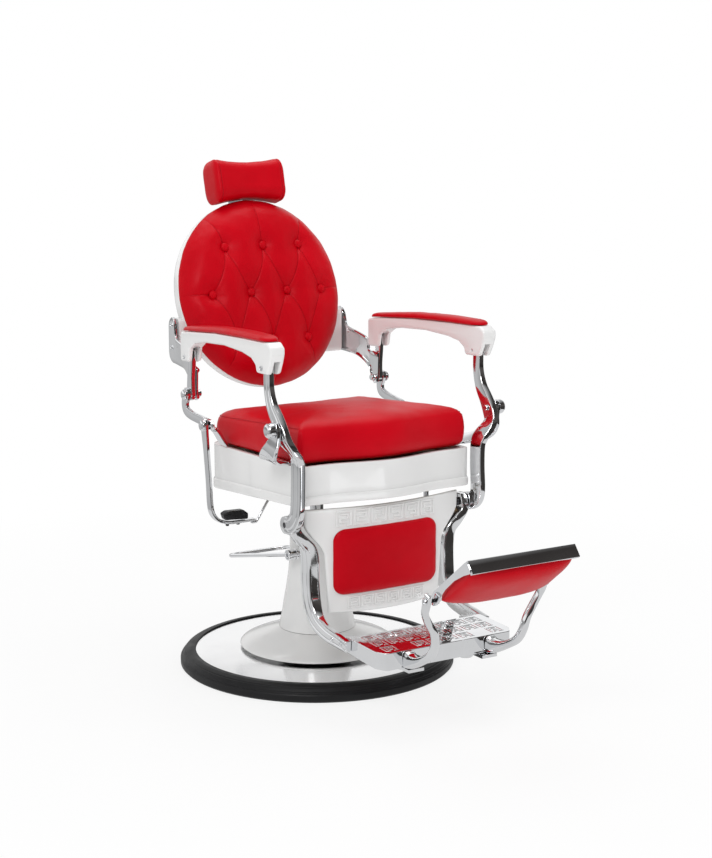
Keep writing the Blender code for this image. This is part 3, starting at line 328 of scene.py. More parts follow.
def smooth_path(points, steps):
    """Catmull-Rom curve through points of any dimension."""
    points = [Vector(p) for p in points]
    ends = [points[0] * 2 - points[1]] + points + [points[-1] * 2 - points[-2]]
    path = []
    for i in range(len(points) - 1):
        a, b, c, d = ends[i:i + 4]
        for step in range(steps):
            t = step / steps
            curve = (a * -1 + c) * t + (a * 2 - b * 5 + c * 4 - d) * t ** 2
            path.append(b + (curve + (a * -1 + b * 3 - c * 3 + d) * t ** 3) * 0.5)
    path.append(points[-1])
    return path


def turned(name, profile, material, body, stands_for=(), place=Matrix(), segments=96, fillet=0.0008):
    """Revolve a closed (radius, height) outline about Z, with every corner eased."""
    if fillet:
        profile = rounded(profile, fillet, 3, keep=lambda p: p[0] == 0.0)
    verts, faces, rings = [], [], []
    for radius, height in profile:
        if radius == 0.0:
            rings.append([len(verts)])
            verts.append(place @ Vector((0.0, 0.0, height)))
            continue
        rings.append(list(range(len(verts), len(verts) + segments)))
        for i in range(segments):
            angle = 2.0 * pi * i / segments
            verts.append(place @ Vector((radius * cos(angle), radius * sin(angle), height)))
    for i, lower in enumerate(rings):
        upper = rings[(i + 1) % len(rings)]
        if len(lower) == 1 and len(upper) == 1:
            continue
        for j in range(segments):
            k = (j + 1) % segments
            corners = [lower[j % len(lower)], lower[k % len(lower)]]
            corners += [upper[k % len(upper)], upper[j % len(upper)]]
            faces.append(tuple(dict.fromkeys(corners)))
    return piece(name, verts, faces, material, body, stands_for)


def along_x(point, sign, out=0.0):
    """Place for a turned piece on an axis along X; heights run outward from the plane x = out."""
    turn = Matrix.Rotation(sign * pi / 2, 4, "Y")
    return Matrix.Translation((0.0, point[1], point[2])) @ turn @ Matrix.Translation((0.0, 0.0, out))


def both(sign, a, b):
    """Two x places on the given side of the middle plane, lower one first."""
    return sorted((sign * a, sign * b))


def flat_section(a, b, flutes=0.0):
    """Rounded bar section, half side a and half up b, with flutes in its outer (+up) face."""
    radius = min(a, b) * 0.42
    points = []
    for corner_s, corner_u, start in ((a, b, 0.0), (-a, b, 0.5), (-a, -b, 1.0), (a, -b, 1.5)):
        s0 = corner_s - radius * (1 if corner_s > 0 else -1)
        u0 = corner_u - radius * (1 if corner_u > 0 else -1)
        for step in range(5):
            angle = (start + step / 8.0) * pi
            points.append((s0 + radius * cos(angle), u0 + radius * sin(angle)))
        if start == 0.0:
            for step in range(1, 24):
                s = (a - radius) * (1.0 - step / 12.0)
                offset = (abs(s) / a - 0.46) / 0.17
                dip = 0.5 * (1.0 + cos(pi * offset)) if abs(offset) < 1.0 else 0.0
                points.append((s, b - flutes * dip))
    return points


def sweep_rings(rows, section, reference, x_sign, steps, flutes, tip):
    """Rings of a bar whose rows hold centre and half sizes, with both ends rounded over."""
    rows = [tuple(row) for row in smooth_path(rows, steps)]
    centres = [Vector(row[:3]) for row in rows]
    rings = []

    def ring_at(centre, tangent, a, b):
        side = Vector(reference(centre) if callable(reference) else reference).cross(tangent)
        side.normalize()
        up = tangent.cross(side)
        ring = [centre + side * s + up * u for s, u in section(a, b, flutes)]
        rings.append([(x_sign * p.x, p.y, p.z) for p in ring])

    count = len(centres)
    tangents = []
    for i in range(count):
        span = centres[min(i + 1, count - 1)] - centres[max(i - 1, 0)]
        tangents.append(span.normalized())
    for angle in (pi / 2, pi / 3, pi / 6):
        shrink = tip * (1.0 - cos(angle))
        a, b = rows[0][3:]
        ring_at(centres[0] - tangents[0] * tip * sin(angle), tangents[0], a - shrink, b - shrink)
    for i in range(count):
        ring_at(centres[i], tangents[i], *rows[i][3:])
    for angle in (pi / 6, pi / 3, pi / 2):
        shrink = tip * (1.0 - cos(angle))
        a, b = rows[-1][3:]
        ring_at(centres[-1] + tangents[-1] * tip * sin(angle), tangents[-1], a - shrink, b - shrink)
    return rings


def sweep(name, path, halves, material, body, stands_for=(), x_sign=1.0, reference=(1.0, 0.0, 0.0),
          section=flat_section, steps=7, flutes=0.0, tip=0.0012):
    """A bar along a path. halves holds (half side, half up) at each point; up leans to reference."""
    single = not isinstance(halves, list)
    rows = [(*path[i], *(halves if single else halves[i])) for i in range(len(path))]
    rings = sweep_rings(rows, section, reference, x_sign, steps, flutes, tip)
    return loft(name, rings, material, body, stands_for)


def tube(name, path, radius, material, body, stands_for=(), sides=16, steps=1):
    """A round rod with domed ends, whose section doesn't twist."""
    centres = [Vector(p) for p in (smooth_path(path, steps) if steps > 1 else path)]
    first = (centres[1] - centres[0]).normalized()
    last = (centres[-1] - centres[-2]).normalized()
    tips = [(1.0, 0.12), (0.8, 0.62), (0.42, 0.91)]
    radii = [radius * r for _, r in tips] + [radius] * len(centres) + [radius * r for _, r in reversed(tips)]
    centres = [centres[0] - first * radius * t for t, _ in tips] + centres
    centres += [centres[-1] + last * radius * t for t, _ in reversed(tips)]
    up = (centres[1] - centres[0]).normalized().orthogonal().normalized()
    rings = []
    total = len(centres)
    for i, centre in enumerate(centres):
        tangent = (centres[min(i + 1, total - 1)] - centres[max(i - 1, 0)]).normalized()
        up = (up - tangent * up.dot(tangent)).normalized()
        side = tangent.cross(up)
        ring = []
        for j in range(sides):
            angle = 2.0 * pi * j / sides
            point = centre + (side * cos(angle) + up * sin(angle)) * radii[i]
            ring.append(point)
        rings.append(ring)
    return loft(name, rings, material, body, stands_for)


def carve(obj, cutters, operation="DIFFERENCE"):
    """Cut pieces out of a mesh, or join pieces to it, and bake the result."""
    for cutter in cutters:
        modifier = obj.modifiers.new("carve", "BOOLEAN")
        modifier.operation = operation
        modifier.solver = "EXACT"
        modifier.object = cutter
    bpy.context.view_layer.update()
    evaluated = obj.evaluated_get(bpy.context.evaluated_depsgraph_get())
    mesh = bpy.data.meshes.new_from_object(evaluated)
    old = obj.data
    obj.modifiers.clear()
    obj.data = mesh
    mesh.name = old.name
    for cutter in cutters:
        bpy.data.objects.remove(cutter, do_unlink=True)
    mesh.shade_smooth()
    mesh.set_sharp_from_angle(angle=radians(35.0))
    return obj


def eased(obj, width=0.0008, segments=2, angle=32.0):
    """Round over a piece's sharp edges."""
    modifier = obj.modifiers.new("edges", "BEVEL")
    modifier.width = width
    modifier.segments = segments
    modifier.limit_method = "ANGLE"
    modifier.angle_limit = radians(angle)
    modifier.harden_normals = False
    return obj


def block(name, low, high, material, body):
    """A rectangular piece that cuts or joins another one."""
    verts = [(x, y, z) for x in (low[0], high[0]) for y in (low[1], high[1]) for z in (low[2], high[2])]
    faces = [(0, 1, 3, 2), (4, 6, 7, 5), (0, 4, 5, 1), (2, 3, 7, 6), (0, 2, 6, 4), (1, 5, 7, 3)]
    return piece(name, verts, faces, material, body)


def finish_solid(node, material, ease=0.0008):
    """A carried-over solid keeps its shape: welded, its edges eased, in its own finish."""
    obj = frame["nodes"][node]
    obj.data.materials.clear()
    obj.data.materials.append(material)
    weld = obj.modifiers.new("weld", "WELD")
    weld.merge_threshold = 1e-5
    eased(obj, ease, 2)
    smooth = obj.modifiers.new("normals", "WEIGHTED_NORMAL")
    smooth.keep_sharp = False
    obj.data.shade_smooth()
    return obj


def bolt_head(name, place, radius, height, material, body):
    """Domed screw head with a round hollow sunk in its middle."""
    profile = [(0.0, 0.0), (radius, 0.0), (radius, height * 0.35), (radius * 0.8, height * 0.8),
               (radius * 0.42, height), (radius * 0.3, height * 0.45), (0.0, height * 0.4)]
    return turned(name, profile, material, body, (), place, 28, radius * 0.1)


# ---- base and pump -------------------------------------------------------------------
def build_base():
    """Polished floor plate with a shallow cone, in a moulded rubber ring."""
    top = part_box("base_plate")[1].z
    profile = [(0.0, 0.0), (0.075, 0.0), (0.081, top - 0.008), (0.2, top - 0.011), (0.281, 0.0265),
               (0.287, 0.0), (0.2995, 0.0), (0.2995, 0.0332), (0.294, 0.0346), (0.262, 0.0364),
               (0.2, 0.0395), (0.14, 0.0413), (0.1, top), (0.0, top)]
    turned("floor_plate", profile, STEEL, "base", ["base_plate"], segments=160)

    profile = [(0.3004, 0.0), (0.3255, 0.0), (0.3298, 0.0045), (0.33, 0.0165), (0.3282, 0.02),
               (0.3262, 0.0202), (0.3245, 0.0222), (0.324, 0.0252), (0.319, 0.0312), (0.3165, 0.0318),
               (0.315, 0.0338), (0.312, 0.0352), (0.305, 0.0374), (0.2948, 0.038), (0.2932, 0.0368),
               (0.2932, 0.0353), (0.3004, 0.034)]
    turned("rubber_ring", profile, RUBBER, "base", ["rubber_rim"], segments=160)
    finish_solid("pump_socket", DARK_STEEL)


def build_pump():
    """Tapered column cover over the pump, with the bell skirt at its foot."""
    finish_solid("swivel_bearing", DARK_STEEL)
    finish_solid("pump_cylinder", DARK_STEEL)
    outer = [(0.0923, 0.089), (0.0905, 0.096), (0.088, 0.108), (0.0838, 0.131), (0.08, 0.156),
             (0.074, 0.19), (0.069, 0.2255), (0.0664, 0.255), (0.0652, 0.285), (0.065, 0.346)]
    outer = [tuple(p) for p in smooth_path(outer, 5)]
    outer += [(0.0632, 0.353), (0.056, 0.3576), (0.05, 0.358)]
    inner = [(0.0172, 0.358), (0.0172, 0.3545), (0.0615, 0.35), (0.0618, 0.28), (0.0655, 0.2255),
             (0.0765, 0.156), (0.0885, 0.089)]
    cover = turned("column_shell", outer + inner, ENAMEL, "pump", ["column_cover"], segments=128)
    hub = AXIS["pump_pedal"]
    hole = [(0.0, -0.09), (0.0095, -0.09), (0.0095, 0.09), (0.0, 0.09)]
    cutter = turned("hub_hole", hole, ENAMEL, "pump", (), along_x(hub, 1.0), 40, 0.0)
    carve(cover, [cutter])

    outer = [(0.0925, 0.088), (0.0985, 0.0852), (0.108, 0.0814), (0.124, 0.0756), (0.142, 0.0692),
             (0.16, 0.0624), (0.173, 0.057), (0.1815, 0.0526), (0.1852, 0.0494), (0.186, 0.0474)]
    outer = [tuple(p) for p in smooth_path(outer, 5)]
    inner = [(0.185, 0.046), (0.1812, 0.046), (0.165, 0.056), (0.138, 0.0662), (0.103, 0.0792),
             (0.0892, 0.085), (0.0892, 0.088)]
    turned("bell_skirt", outer + inner, ENAMEL, "pump", ["skirt"], segments=160)


def build_pump_lever():
    """Shaft through the column, a collar at each end and the U-shaped foot loop."""
    hub = AXIS["pump_pedal"]
    place = Matrix.Translation(hub) @ TO_X
    shaft = [(0.0, -0.093), (0.0042, -0.093), (0.0042, -0.0995), (0.007, -0.0995), (0.008, -0.0985)]
    shaft += [(r, -h) for r, h in reversed(shaft)]
    turned("hub_shaft", shaft, CHROME, "pump_lever", ["lever_shaft"], place, 48, 0.0004)
    collar = [(0.0086, -0.099), (0.0128, -0.099), (0.0128, -0.0925), (0.0112, -0.0918), (0.0112, -0.0785),
              (0.0128, -0.0778), (0.0128, -0.073), (0.0086, -0.073)]
    for side, sign in SIDES:
        mirror = [(r, h * sign * -1.0) for r, h in collar]
        turned("lever_collar_" + side, mirror, CHROME, "pump_lever", (), place, 48, 0.0007)

    drop = radians(12.7)
    along = Vector((0.0, cos(drop), -sin(drop)))
    half, reach, corner = 0.0855, 0.345, 0.036
    path = [hub + along * 0.0124 + Vector((-half, 0.0, 0.0))]
    for centre_x, start in ((-1.0, pi), (1.0, pi / 2)):
        for step in range(15):
            angle = start - step * pi / 28
            x = centre_x * (half - corner) + corner * cos(angle)
            path.append(hub + along * (reach - corner + corner * sin(angle)) + Vector((x, 0.0, 0.0)))
    path.append(hub + along * 0.0124 + Vector((half, 0.0, 0.0)))
    tube("foot_loop", path, 0.005, CHROME, "pump_lever", ["pump_lever"], sides=24)


# ---- seat ----------------------------------------------------------------------------
SEAT_HALF, SEAT_FRONT, SEAT_REAR = 0.2275, -0.308, 0.132
CUSHION_INSET = 0.0075
SEAT_CENTRE = Vector((0.0, (SEAT_FRONT + SEAT_REAR) / 2.0, 0.0))


def apron_top(y):
    return 0.55 - 0.026 * (y - SEAT_FRONT)


def apron_bottom(y):
    return 0.4625 - 0.07 * (y - SEAT_FRONT)


def seat_outline(inset=0.0, front_steps=72, corner_steps=14, side_steps=30):
    """Plan outline of the seat as (x, y, frontness): serpentine front, straight sides."""
    half, front, rear = SEAT_HALF - inset, SEAT_FRONT + inset, SEAT_REAR - inset
    front_r, rear_r = max(0.018 - inset, 0.006), max(0.06 - inset, 0.006)
    outline = []
    for i in range(front_steps):
        x = (half - front_r) * (2.0 * i / front_steps - 1.0)
        swell = 0.5 * (1.0 + cos(pi * min(abs(x) / 0.165, 1.0)))
        outline.append((x, front - 0.03 * swell, 1.0))

    def corner(x, y, radius, start, steps):
        for step in range(steps):
            angle = start + step * pi / (2 * steps)
            facing = max(-sin(angle), 0.0)
            outline.append((x + radius * cos(angle), y + radius * sin(angle), facing ** 1.5))

    def straight(a, b, steps):
        for step in range(steps):
            t = step / steps
            outline.append((a[0] + (b[0] - a[0]) * t, a[1] + (b[1] - a[1]) * t, 0.0))

    corner(half - front_r, front + front_r, front_r, -pi / 2, corner_steps)
    straight((half, front + front_r), (half, rear - rear_r), side_steps)
    corner(half - rear_r, rear - rear_r, rear_r, 0.0, corner_steps)
    straight((half - rear_r, rear), (-half + rear_r, rear), side_steps)
    corner(-half + rear_r, rear - rear_r, rear_r, pi / 2, corner_steps)
    straight((-half, rear - rear_r), (-half, front + front_r), side_steps)
    corner(-half + front_r, front + front_r, front_r, pi, corner_steps)
    return outline


def build_seat_base():
    """Ram, hidden frame and board, and the stepped apron round them."""
    profile = [(0.0, 0.09), (0.015, 0.09), (0.016, 0.0915), (0.016, 0.4181), (0.0, 0.4181)]
    turned("ram_rod", profile, CHROME, "seat", ["ram"], segments=64)
    finish_solid("seat_subframe", DARK_STEEL, 0.0012)
    finish_solid("seat_board", PLYWOOD, 0.0008)
    finish_solid("recline_lock", DARK_STEEL, 0.0008)

    section = [(0.003, 1.0), (0.0009, 0.99), (0.0, 0.965), (0.0, 0.6), (0.0, 0.255), (-0.0006, 0.235),
               (-0.0025, 0.205), (-0.003, 0.185), (-0.003, 0.06), (-0.0022, 0.02), (0.0, 0.0),
               (0.01, 0.0), (0.012, 0.012), (0.012, 0.5), (0.012, 0.988), (0.01, 1.0)]
    section = smooth_path([(*p, 0.0) for p in section], 2)
    rings = []
    for inset, rise, _ in section:
        ring = []
        for x, y, _ in seat_outline(inset):
            low = apron_bottom(y)
            ring.append((x, y, low + (apron_top(y) - low) * min(max(rise, 0.0), 1.0)))
        rings.append(ring)
    loft("apron", rings, WHITE_CASTING, "seat", ["seat_apron"], wrap=True, sharp=60.0)


def ease(t):
    """Smooth step from 0 to 1."""
    t = min(max(t, 0.0), 1.0)
    return t * t * (3.0 - 2.0 * t)


def build_seat_cushion():
    """Crowned cushion: boxed sides with a seam at the top edge, a front that rolls over."""
    crown_rise, crown_level, rear_fall, crown_rings = 0.0085, 0.1005, 0.52, 26
    sides = [(0.022, 0.0006), (0.008, 0.006), (0.0015, 0.014), (-0.001, 0.03), (-0.0012, 0.046),
             (0.0, 0.06), (0.0022, 0.0715), (0.004, 0.0775), (0.0062, 0.0796), (0.0076, 0.0822),
             (0.012, 0.0876), (0.022, 0.0935), (0.038, 0.0985), (0.06, 0.1022)]
    front = [(0.024, 0.0006), (0.01, 0.006), (0.002, 0.015), (-0.0022, 0.031), (-0.003, 0.046),
             (-0.002, 0.059), (0.0018, 0.071), (0.0062, 0.079), (0.0105, 0.084), (0.0155, 0.088),
             (0.0225, 0.0924), (0.032, 0.0962), (0.045, 0.0996), (0.062, 0.1026)]
    insets = sorted({p[0] for p in sides + front})
    lookup = {inset: seat_outline(inset + CUSHION_INSET) for inset in insets}
    count = len(lookup[insets[0]])
    rings = []
    for (si, sh), (fi, fh) in zip(sides, front):
        ring = []
        for j in range(count):
            a, b = lookup[si][j], lookup[fi][j]
            facing = a[2]
            x = a[0] + (b[0] - a[0]) * facing
            y = a[1] + (b[1] - a[1]) * facing
            height = sh + (fh - sh) * facing
            ring.append(Vector((x, y, apron_top(y) + height * (1.0 - rear_fall * (y - SEAT_FRONT)))))
        rings.append(ring)
    last = rings[-1]
    centre = SEAT_CENTRE
    for step in range(1, crown_rings):
        share = 1.0 - step / crown_rings
        ring = []
        for point in last:
            x = centre.x + (point.x - centre.x) * share
            y = centre.y + (point.y - centre.y) * share
            crown = crown_rise * (1.0 - share ** 2.2)
            level = apron_top(y) + crown_level * (1.0 - rear_fall * (y - SEAT_FRONT))
            ring.append(Vector((x, y, point.z * share + (1.0 - share) * level + crown)))
        rings.append(ring)
    verts = [point for ring in rings for point in ring]
    faces = skin(rings)
    cushion = piece("seat_pad", verts, faces, LEATHER, "seat", ["seat_cushion"], 70.0)
    crease(cushion, corner_seams(), 0.0022, 0.0035)
    ruffle(cushion, 0.0011, 17.0, (1.0, 1.0, 0.45), (0.0, 0.0, 3.0))
    seam = [rings[9][j] for j in range(count) if lookup[insets[0]][j][2] < 0.35]
    start = next(i for i in range(len(seam)) if (seam[i] - seam[i - 1]).length > 0.02)
    seam = seam[start:] + seam[:start]
    stitch("seat_seam", settle(seam, cushion, 0.0004), "seat")
    return cushion


def corner_seams():
    """Upright seams at the two front corners of the seat cushion."""
    lines = []
    for sign in (1.0, -1.0):
        x, y = sign * (SEAT_HALF - 0.0108), SEAT_FRONT + 0.0108
        low, high = apron_top(y) + 0.004, apron_top(y) + 0.08
        lines.append([Vector((x, y, low + (high - low) * t / 10.0)) for t in range(11)])
    return lines


def mesh_points(obj):
    points = np.empty(len(obj.data.vertices) * 3)
    obj.data.vertices.foreach_get("co", points)
    normals = np.empty(len(obj.data.vertices) * 3)
    obj.data.vertex_normals.foreach_get("vector", normals)
    return points.reshape(-1, 3), normals.reshape(-1, 3)


def set_points(obj, points):
    obj.data.vertices.foreach_set("co", points.ravel())
    obj.data.update()


def distance_to_lines(points, lines):
    """Distance from each point to the nearest of several polylines."""
    best = np.full(len(points), 1e9)
    for line in lines:
        line = np.array([tuple(p) for p in line])
        for a, b in zip(line[:-1], line[1:]):
            span = b - a
            t = np.clip((points - a) @ span / max(span @ span, 1e-12), 0.0, 1.0)
            best = np.minimum(best, np.linalg.norm(points - (a + t[:, None] * span), axis=1))
    return best


def crease(obj, lines, depth, width):
    """Pull the skin in along seam lines."""
    points, normals = mesh_points(obj)
    away = distance_to_lines(points, lines) / width
    set_points(obj, points - normals * (depth * np.exp(-away ** 2))[:, None])


def ruffle(obj, depth, scale, stretch, shift):
    """Soft uneven swelling, so that a stuffed skin isn't perfectly regular."""
    points, normals = mesh_points(obj)
    moves = np.empty(len(points))
    for i, point in enumerate(points):
        where = Vector([c * scale * s + d for c, s, d in zip(point, stretch, shift)])
        moves[i] = noise.noise(where) + 0.45 * noise.noise(where * 2.3)
    set_points(obj, points + normals * (depth * moves)[:, None])


def settle(path, obj, lift):
    """Lay a path on a mesh's surface."""
    tree = BVHTree.FromPolygons([v.co.copy() for v in obj.data.vertices],
                                [tuple(p.vertices) for p in obj.data.polygons])
    laid = []
    for point in path:
        where, normal, _, _ = tree.find_nearest(Vector(point))
        laid.append(where + normal * lift)
    return laid


def stitch(name, path, body, radius=0.0011, length=0.0042, pitch=0.0062):
    """A row of thread stitches along a path, each a closed capsule, in one piece."""
    lengths = [0.0]
    for a, b in zip(path[:-1], path[1:]):
        lengths.append(lengths[-1] + (Vector(b) - Vector(a)).length)
    verts, faces = [], []
    places = [i * pitch for i in range(int((lengths[-1] - length) / pitch))]

    def at(distance):
        i = int(np.searchsorted(lengths, distance, side="right")) - 1
        i = min(max(i, 0), len(path) - 2)
        t = (distance - lengths[i]) / max(lengths[i + 1] - lengths[i], 1e-9)
        return Vector(path[i]).lerp(Vector(path[i + 1]), t)

    for start in places:
        a, b = at(start), at(start + length)
        tangent = (b - a).normalized()
        up = tangent.orthogonal().normalized()
        side = tangent.cross(up)
        first = len(verts)
        for share, swell in ((0.0, 0.35), (0.2, 0.9), (0.8, 0.9), (1.0, 0.35)):
            centre = a.lerp(b, share)
            for j in range(6):
                angle = j * pi / 3
                verts.append(centre + (up * cos(angle) + side * sin(angle)) * radius * swell)
        for ring in range(3):
            low = first + ring * 6
            for j in range(6):
                k = (j + 1) % 6
                faces.append((low + j, low + k, low + 6 + k, low + 6 + j))
        faces.append(tuple(first + j for j in range(5, -1, -1)))
        faces.append(tuple(first + 18 + j for j in range(6)))
    return piece(name, verts, faces, THREAD, body)


def build_seat_brackets():
    """Front brackets and rear arms that carry the links and the backrest, with their domes."""
    for side, sign in SIDES:
        path = [(0.288, -0.316, 0.6545), (0.288, -0.316, 0.64), (0.288, -0.314, 0.62),
                (0.2905, -0.306, 0.601), (0.288, -0.29, 0.582), (0.274, -0.268, 0.5665),
                (0.252, -0.248, 0.559), (0.238, -0.242, 0.5565), (0.2232, -0.24, 0.555)]
        halves = [(0.0043, 0.0098), (0.005, 0.0158), (0.005, 0.0172), (0.0046, 0.0213), (0.0043, 0.0233),
                  (0.0038, 0.0268), (0.0029, 0.0318), (0.0023, 0.0348), (0.0017, 0.0358)]
        name = "seat_bracket_" + side
        sweep(name, path, halves, CHROME, "seat", ["front_bracket_" + side], sign, (0.0, 1.0, 0.0))
        pin = AXIS["front_link_swing"]
        profile = [(0.0, 0.262), (0.0055, 0.262), (0.0065, 0.2632), (0.0065, 0.2656), (0.005, 0.2656),
                   (0.005, 0.2942), (0.016, 0.2942), (0.0165, 0.295), (0.0165, 0.3035), (0.0157, 0.3066),
                   (0.0135, 0.3094), (0.0095, 0.3115), (0.0045, 0.3124), (0.0, 0.3125)]
        turned("pivot_dome_" + side, profile, CHROME, "seat", ["front_pivot_" + side],
               along_x(pin, sign), 64, 0.0006)

        path = [(0.272, 0.134, 0.669), (0.272, 0.1365, 0.655), (0.272, 0.145, 0.634),
                (0.272, 0.139, 0.617), (0.2715, 0.113, 0.6085), (0.269, 0.075, 0.6035),
                (0.2655, 0.034, 0.597), (0.259, 0.033, 0.59), (0.248, 0.033, 0.578),
                (0.2375, 0.033, 0.56), (0.229, 0.033, 0.5458)]
        halves = [(0.0048, 0.007), (0.0048, 0.012), (0.0048, 0.0115), (0.0048, 0.011), (0.0048, 0.0105),
                  (0.0048, 0.0105), (0.0048, 0.012), (0.0045, 0.013), (0.0045, 0.014), (0.004, 0.015),
                  (0.003, 0.016)]
        seat_arm("curved_arm_" + side, path, halves, sign, ["rear_arm_" + side])

        pin = AXIS["recline"]
        profile = [(0.0, 0.237), (0.0065, 0.237), (0.008, 0.2385), (0.008, 0.245), (0.0045, 0.245),
                   (0.0045, 0.2775), (0.0118, 0.2775), (0.0124, 0.2785), (0.012, 0.2815),
                   (0.0098, 0.2842), (0.0065, 0.2858), (0.003, 0.2867), (0.0, 0.2868)]
        turned("recline_dome_" + side, profile, CHROME, "seat", ["rear_pivot_" + side],
               along_x(pin, sign), 56, 0.0006)


def seat_arm(name, path, halves, sign, stands_for):
    """A flat arm that drops from the backrest pivot, then turns inward to the seat's edge."""
    rows = smooth_path([(*p, *h) for p, h in zip(path, halves)], 6)
    centres = [Vector(tuple(row)[:3]) for row in rows]
    rings = []
    for i, centre in enumerate(centres):
        tangent = (centres[min(i + 1, len(centres) - 1)] - centres[max(i - 1, 0)]).normalized()
        inward = ease((0.2655 - centre.x) / 0.02)
        reference = Vector((1.0, 0.0, 0.0)).lerp(Vector((0.0, 0.0, 1.0)), inward)
        thin = (reference - tangent * reference.dot(tangent)).normalized()
        wide = tangent.cross(thin)
        t, w = tuple(rows[i])[3:]
        ring = [centre + thin * a + wide * b for a, b in flat_section(t, w)]
        rings.append([(sign * p.x, p.y, p.z) for p in ring])
    return loft(name, rings, CHROME, "seat", stands_for)


def build_recline_handle():
    """Side handle hanging from the rear arm, its grip, and the rod to the lock."""
    pin = AXIS["recline_release"]
    path = [(-0.279, 0.038, 0.611), (-0.279, 0.0345, 0.597), (-0.279, 0.0255, 0.54),
            (-0.279, 0.016, 0.47), (-0.279, 0.011, 0.415), (-0.2755, 0.005, 0.391),
            (-0.262, -0.001, 0.3765), (-0.24, -0.004, 0.3715), (-0.208, -0.0045, 0.3705),
            (-0.173, -0.0045, 0.37)]
    halves = [(0.0035, 0.0085), (0.0038, 0.013), (0.0038, 0.0105), (0.0038, 0.01), (0.0038, 0.01),
              (0.0038, 0.0105), (0.0038, 0.011), (0.0035, 0.011), (0.003, 0.01), (0.0025, 0.007)]
    sweep("handle_bar", path, halves, CHROME, "recline_handle", ["recline_handle"],
          reference=(0.0, 1.0, 0.0))
    profile = [(0.0, 0.2822), (0.0135, 0.2822), (0.0137, 0.2835), (0.0133, 0.2862), (0.0112, 0.2888),
               (0.007, 0.2902), (0.0, 0.2906)]
    turned("handle_dome", profile, CHROME, "recline_handle", (), along_x(pin, -1.0), 56, 0.0006)

    rings = []
    count = 15
    for i in range(count + 1):
        t = i / count
        y = -0.0155 + 0.023 * t
        shrink = 0.003 * (1.0 - sqrt(max(1.0 - (2.0 * t - 1.0) ** 6, 0.0)))
        corners = [(-0.252, 0.379), (-0.193, 0.3752), (-0.193, 0.389), (-0.204, 0.3975), (-0.246, 0.3985),
                   (-0.2575, 0.3935)]
        middle = Vector((-0.228, 0.387))
        ring = []
        for x, z in rounded(corners, 0.0045, 5):
            inward = (middle - Vector((x, z))).normalized() * shrink
            ring.append((x + inward.x, y, z + inward.y))
        rings.append(ring)
    loft("grip", rings, PLASTIC, "recline_handle", ["handle_grip"])
    for label, x in (("outer", -0.243), ("inner", -0.215)):
        place = Matrix.Translation((x, -0.004, 0.368)) @ Matrix.Rotation(pi, 4, "X")
        profile = [(0.0, 0.0), (0.0042, 0.0), (0.0042, 0.004), (0.0034, 0.0052), (0.0, 0.0052)]
        turned("grip_bolt_" + label, profile, PLASTIC, "recline_handle", (), place, 24, 0.0005)

    path = [(-0.179, -0.0045, 0.3636), (-0.167, -0.0045, 0.3646), (-0.157, -0.0045, 0.378),
            (-0.133, -0.0045, 0.414), (-0.115, -0.0045, 0.434)]
    tube("release_wire", path, 0.003, CHROME, "recline_handle", ["release_rod"], 16, 6)


# ---- backrest and headrest -----------------------------------------------------------
BUTTON_ROWS = ((0.1145, (-0.1017, 0.0, 0.1017)), (0.0, (-0.1505, -0.05, 0.05, 0.1505)),
               (-0.118, (-0.1, -0.004, 0.095)))
DISC_R = 0.2285
DISC_PROFILE = [(0.0, -0.0165), (0.1, -0.014), (0.15, -0.009), (0.18, -0.001), (0.198, 0.008),
                (0.2125, 0.021), (0.222, 0.034), (0.227, 0.043), (0.2285, 0.048)]


def buttons():
    """Button centres on the unit disc, from their places on the backrest."""
    return [(x / DISC_OVAL[0], (v - DISC_RISE) / DISC_OVAL[2]) for v, row in BUTTON_ROWS for x in row]


def arc(a, b, bend, steps=14):
    """A shallow curve between two points of the disc's face."""
    a, b = Vector(a), Vector(b)
    across = Vector((b.y - a.y, a.x - b.x)) * bend
    middle = (a + b) / 2.0 + across
    path = []
    for i in range(steps + 1):
        t = i / steps
        path.append(tuple(a * (1 - t) ** 2 + middle * 2 * t * (1 - t) + b * t ** 2))
    return path


def pleats():
    """Fold lines of the tufting: diamonds between buttons, and folds out to the rim."""
    places = buttons()
    folds = []
    top, middle, low = places[:3], places[3:7], places[7:]
    for row, side in ((top, 1.0), (low, -1.0)):
        for x, v in row:
            for other, level in middle:
                if abs(other - x) < 0.065:
                    folds.append(arc((x, v), (other, level), 0.1 if (other - x) * side > 0 else -0.1))
            rim_x = x * 1.28
            rim_v = sqrt(DISC_R ** 2 - rim_x ** 2) * side
            folds.append(arc((x, v), (rim_x, rim_v), 0.06 if x * side < 0 else -0.06))
    for x, v in (middle[0], middle[-1]):
        folds.append(arc((x, v), (DISC_R if x > 0 else -DISC_R, 0.0), 0.0))
    return folds


def disc_point(i, j, count):
    """Square grid squeezed onto a disc, so that cells stay even."""
    a, b = 2.0 * i / count - 1.0, 2.0 * j / count - 1.0
    return a * sqrt(1.0 - b * b / 2.0) * DISC_R, b * sqrt(1.0 - a * a / 2.0) * DISC_R


def sink(away, depth, width):
    """A soft hollow, deepest where away is nought."""
    return depth * np.exp(-(away / width) ** 2)


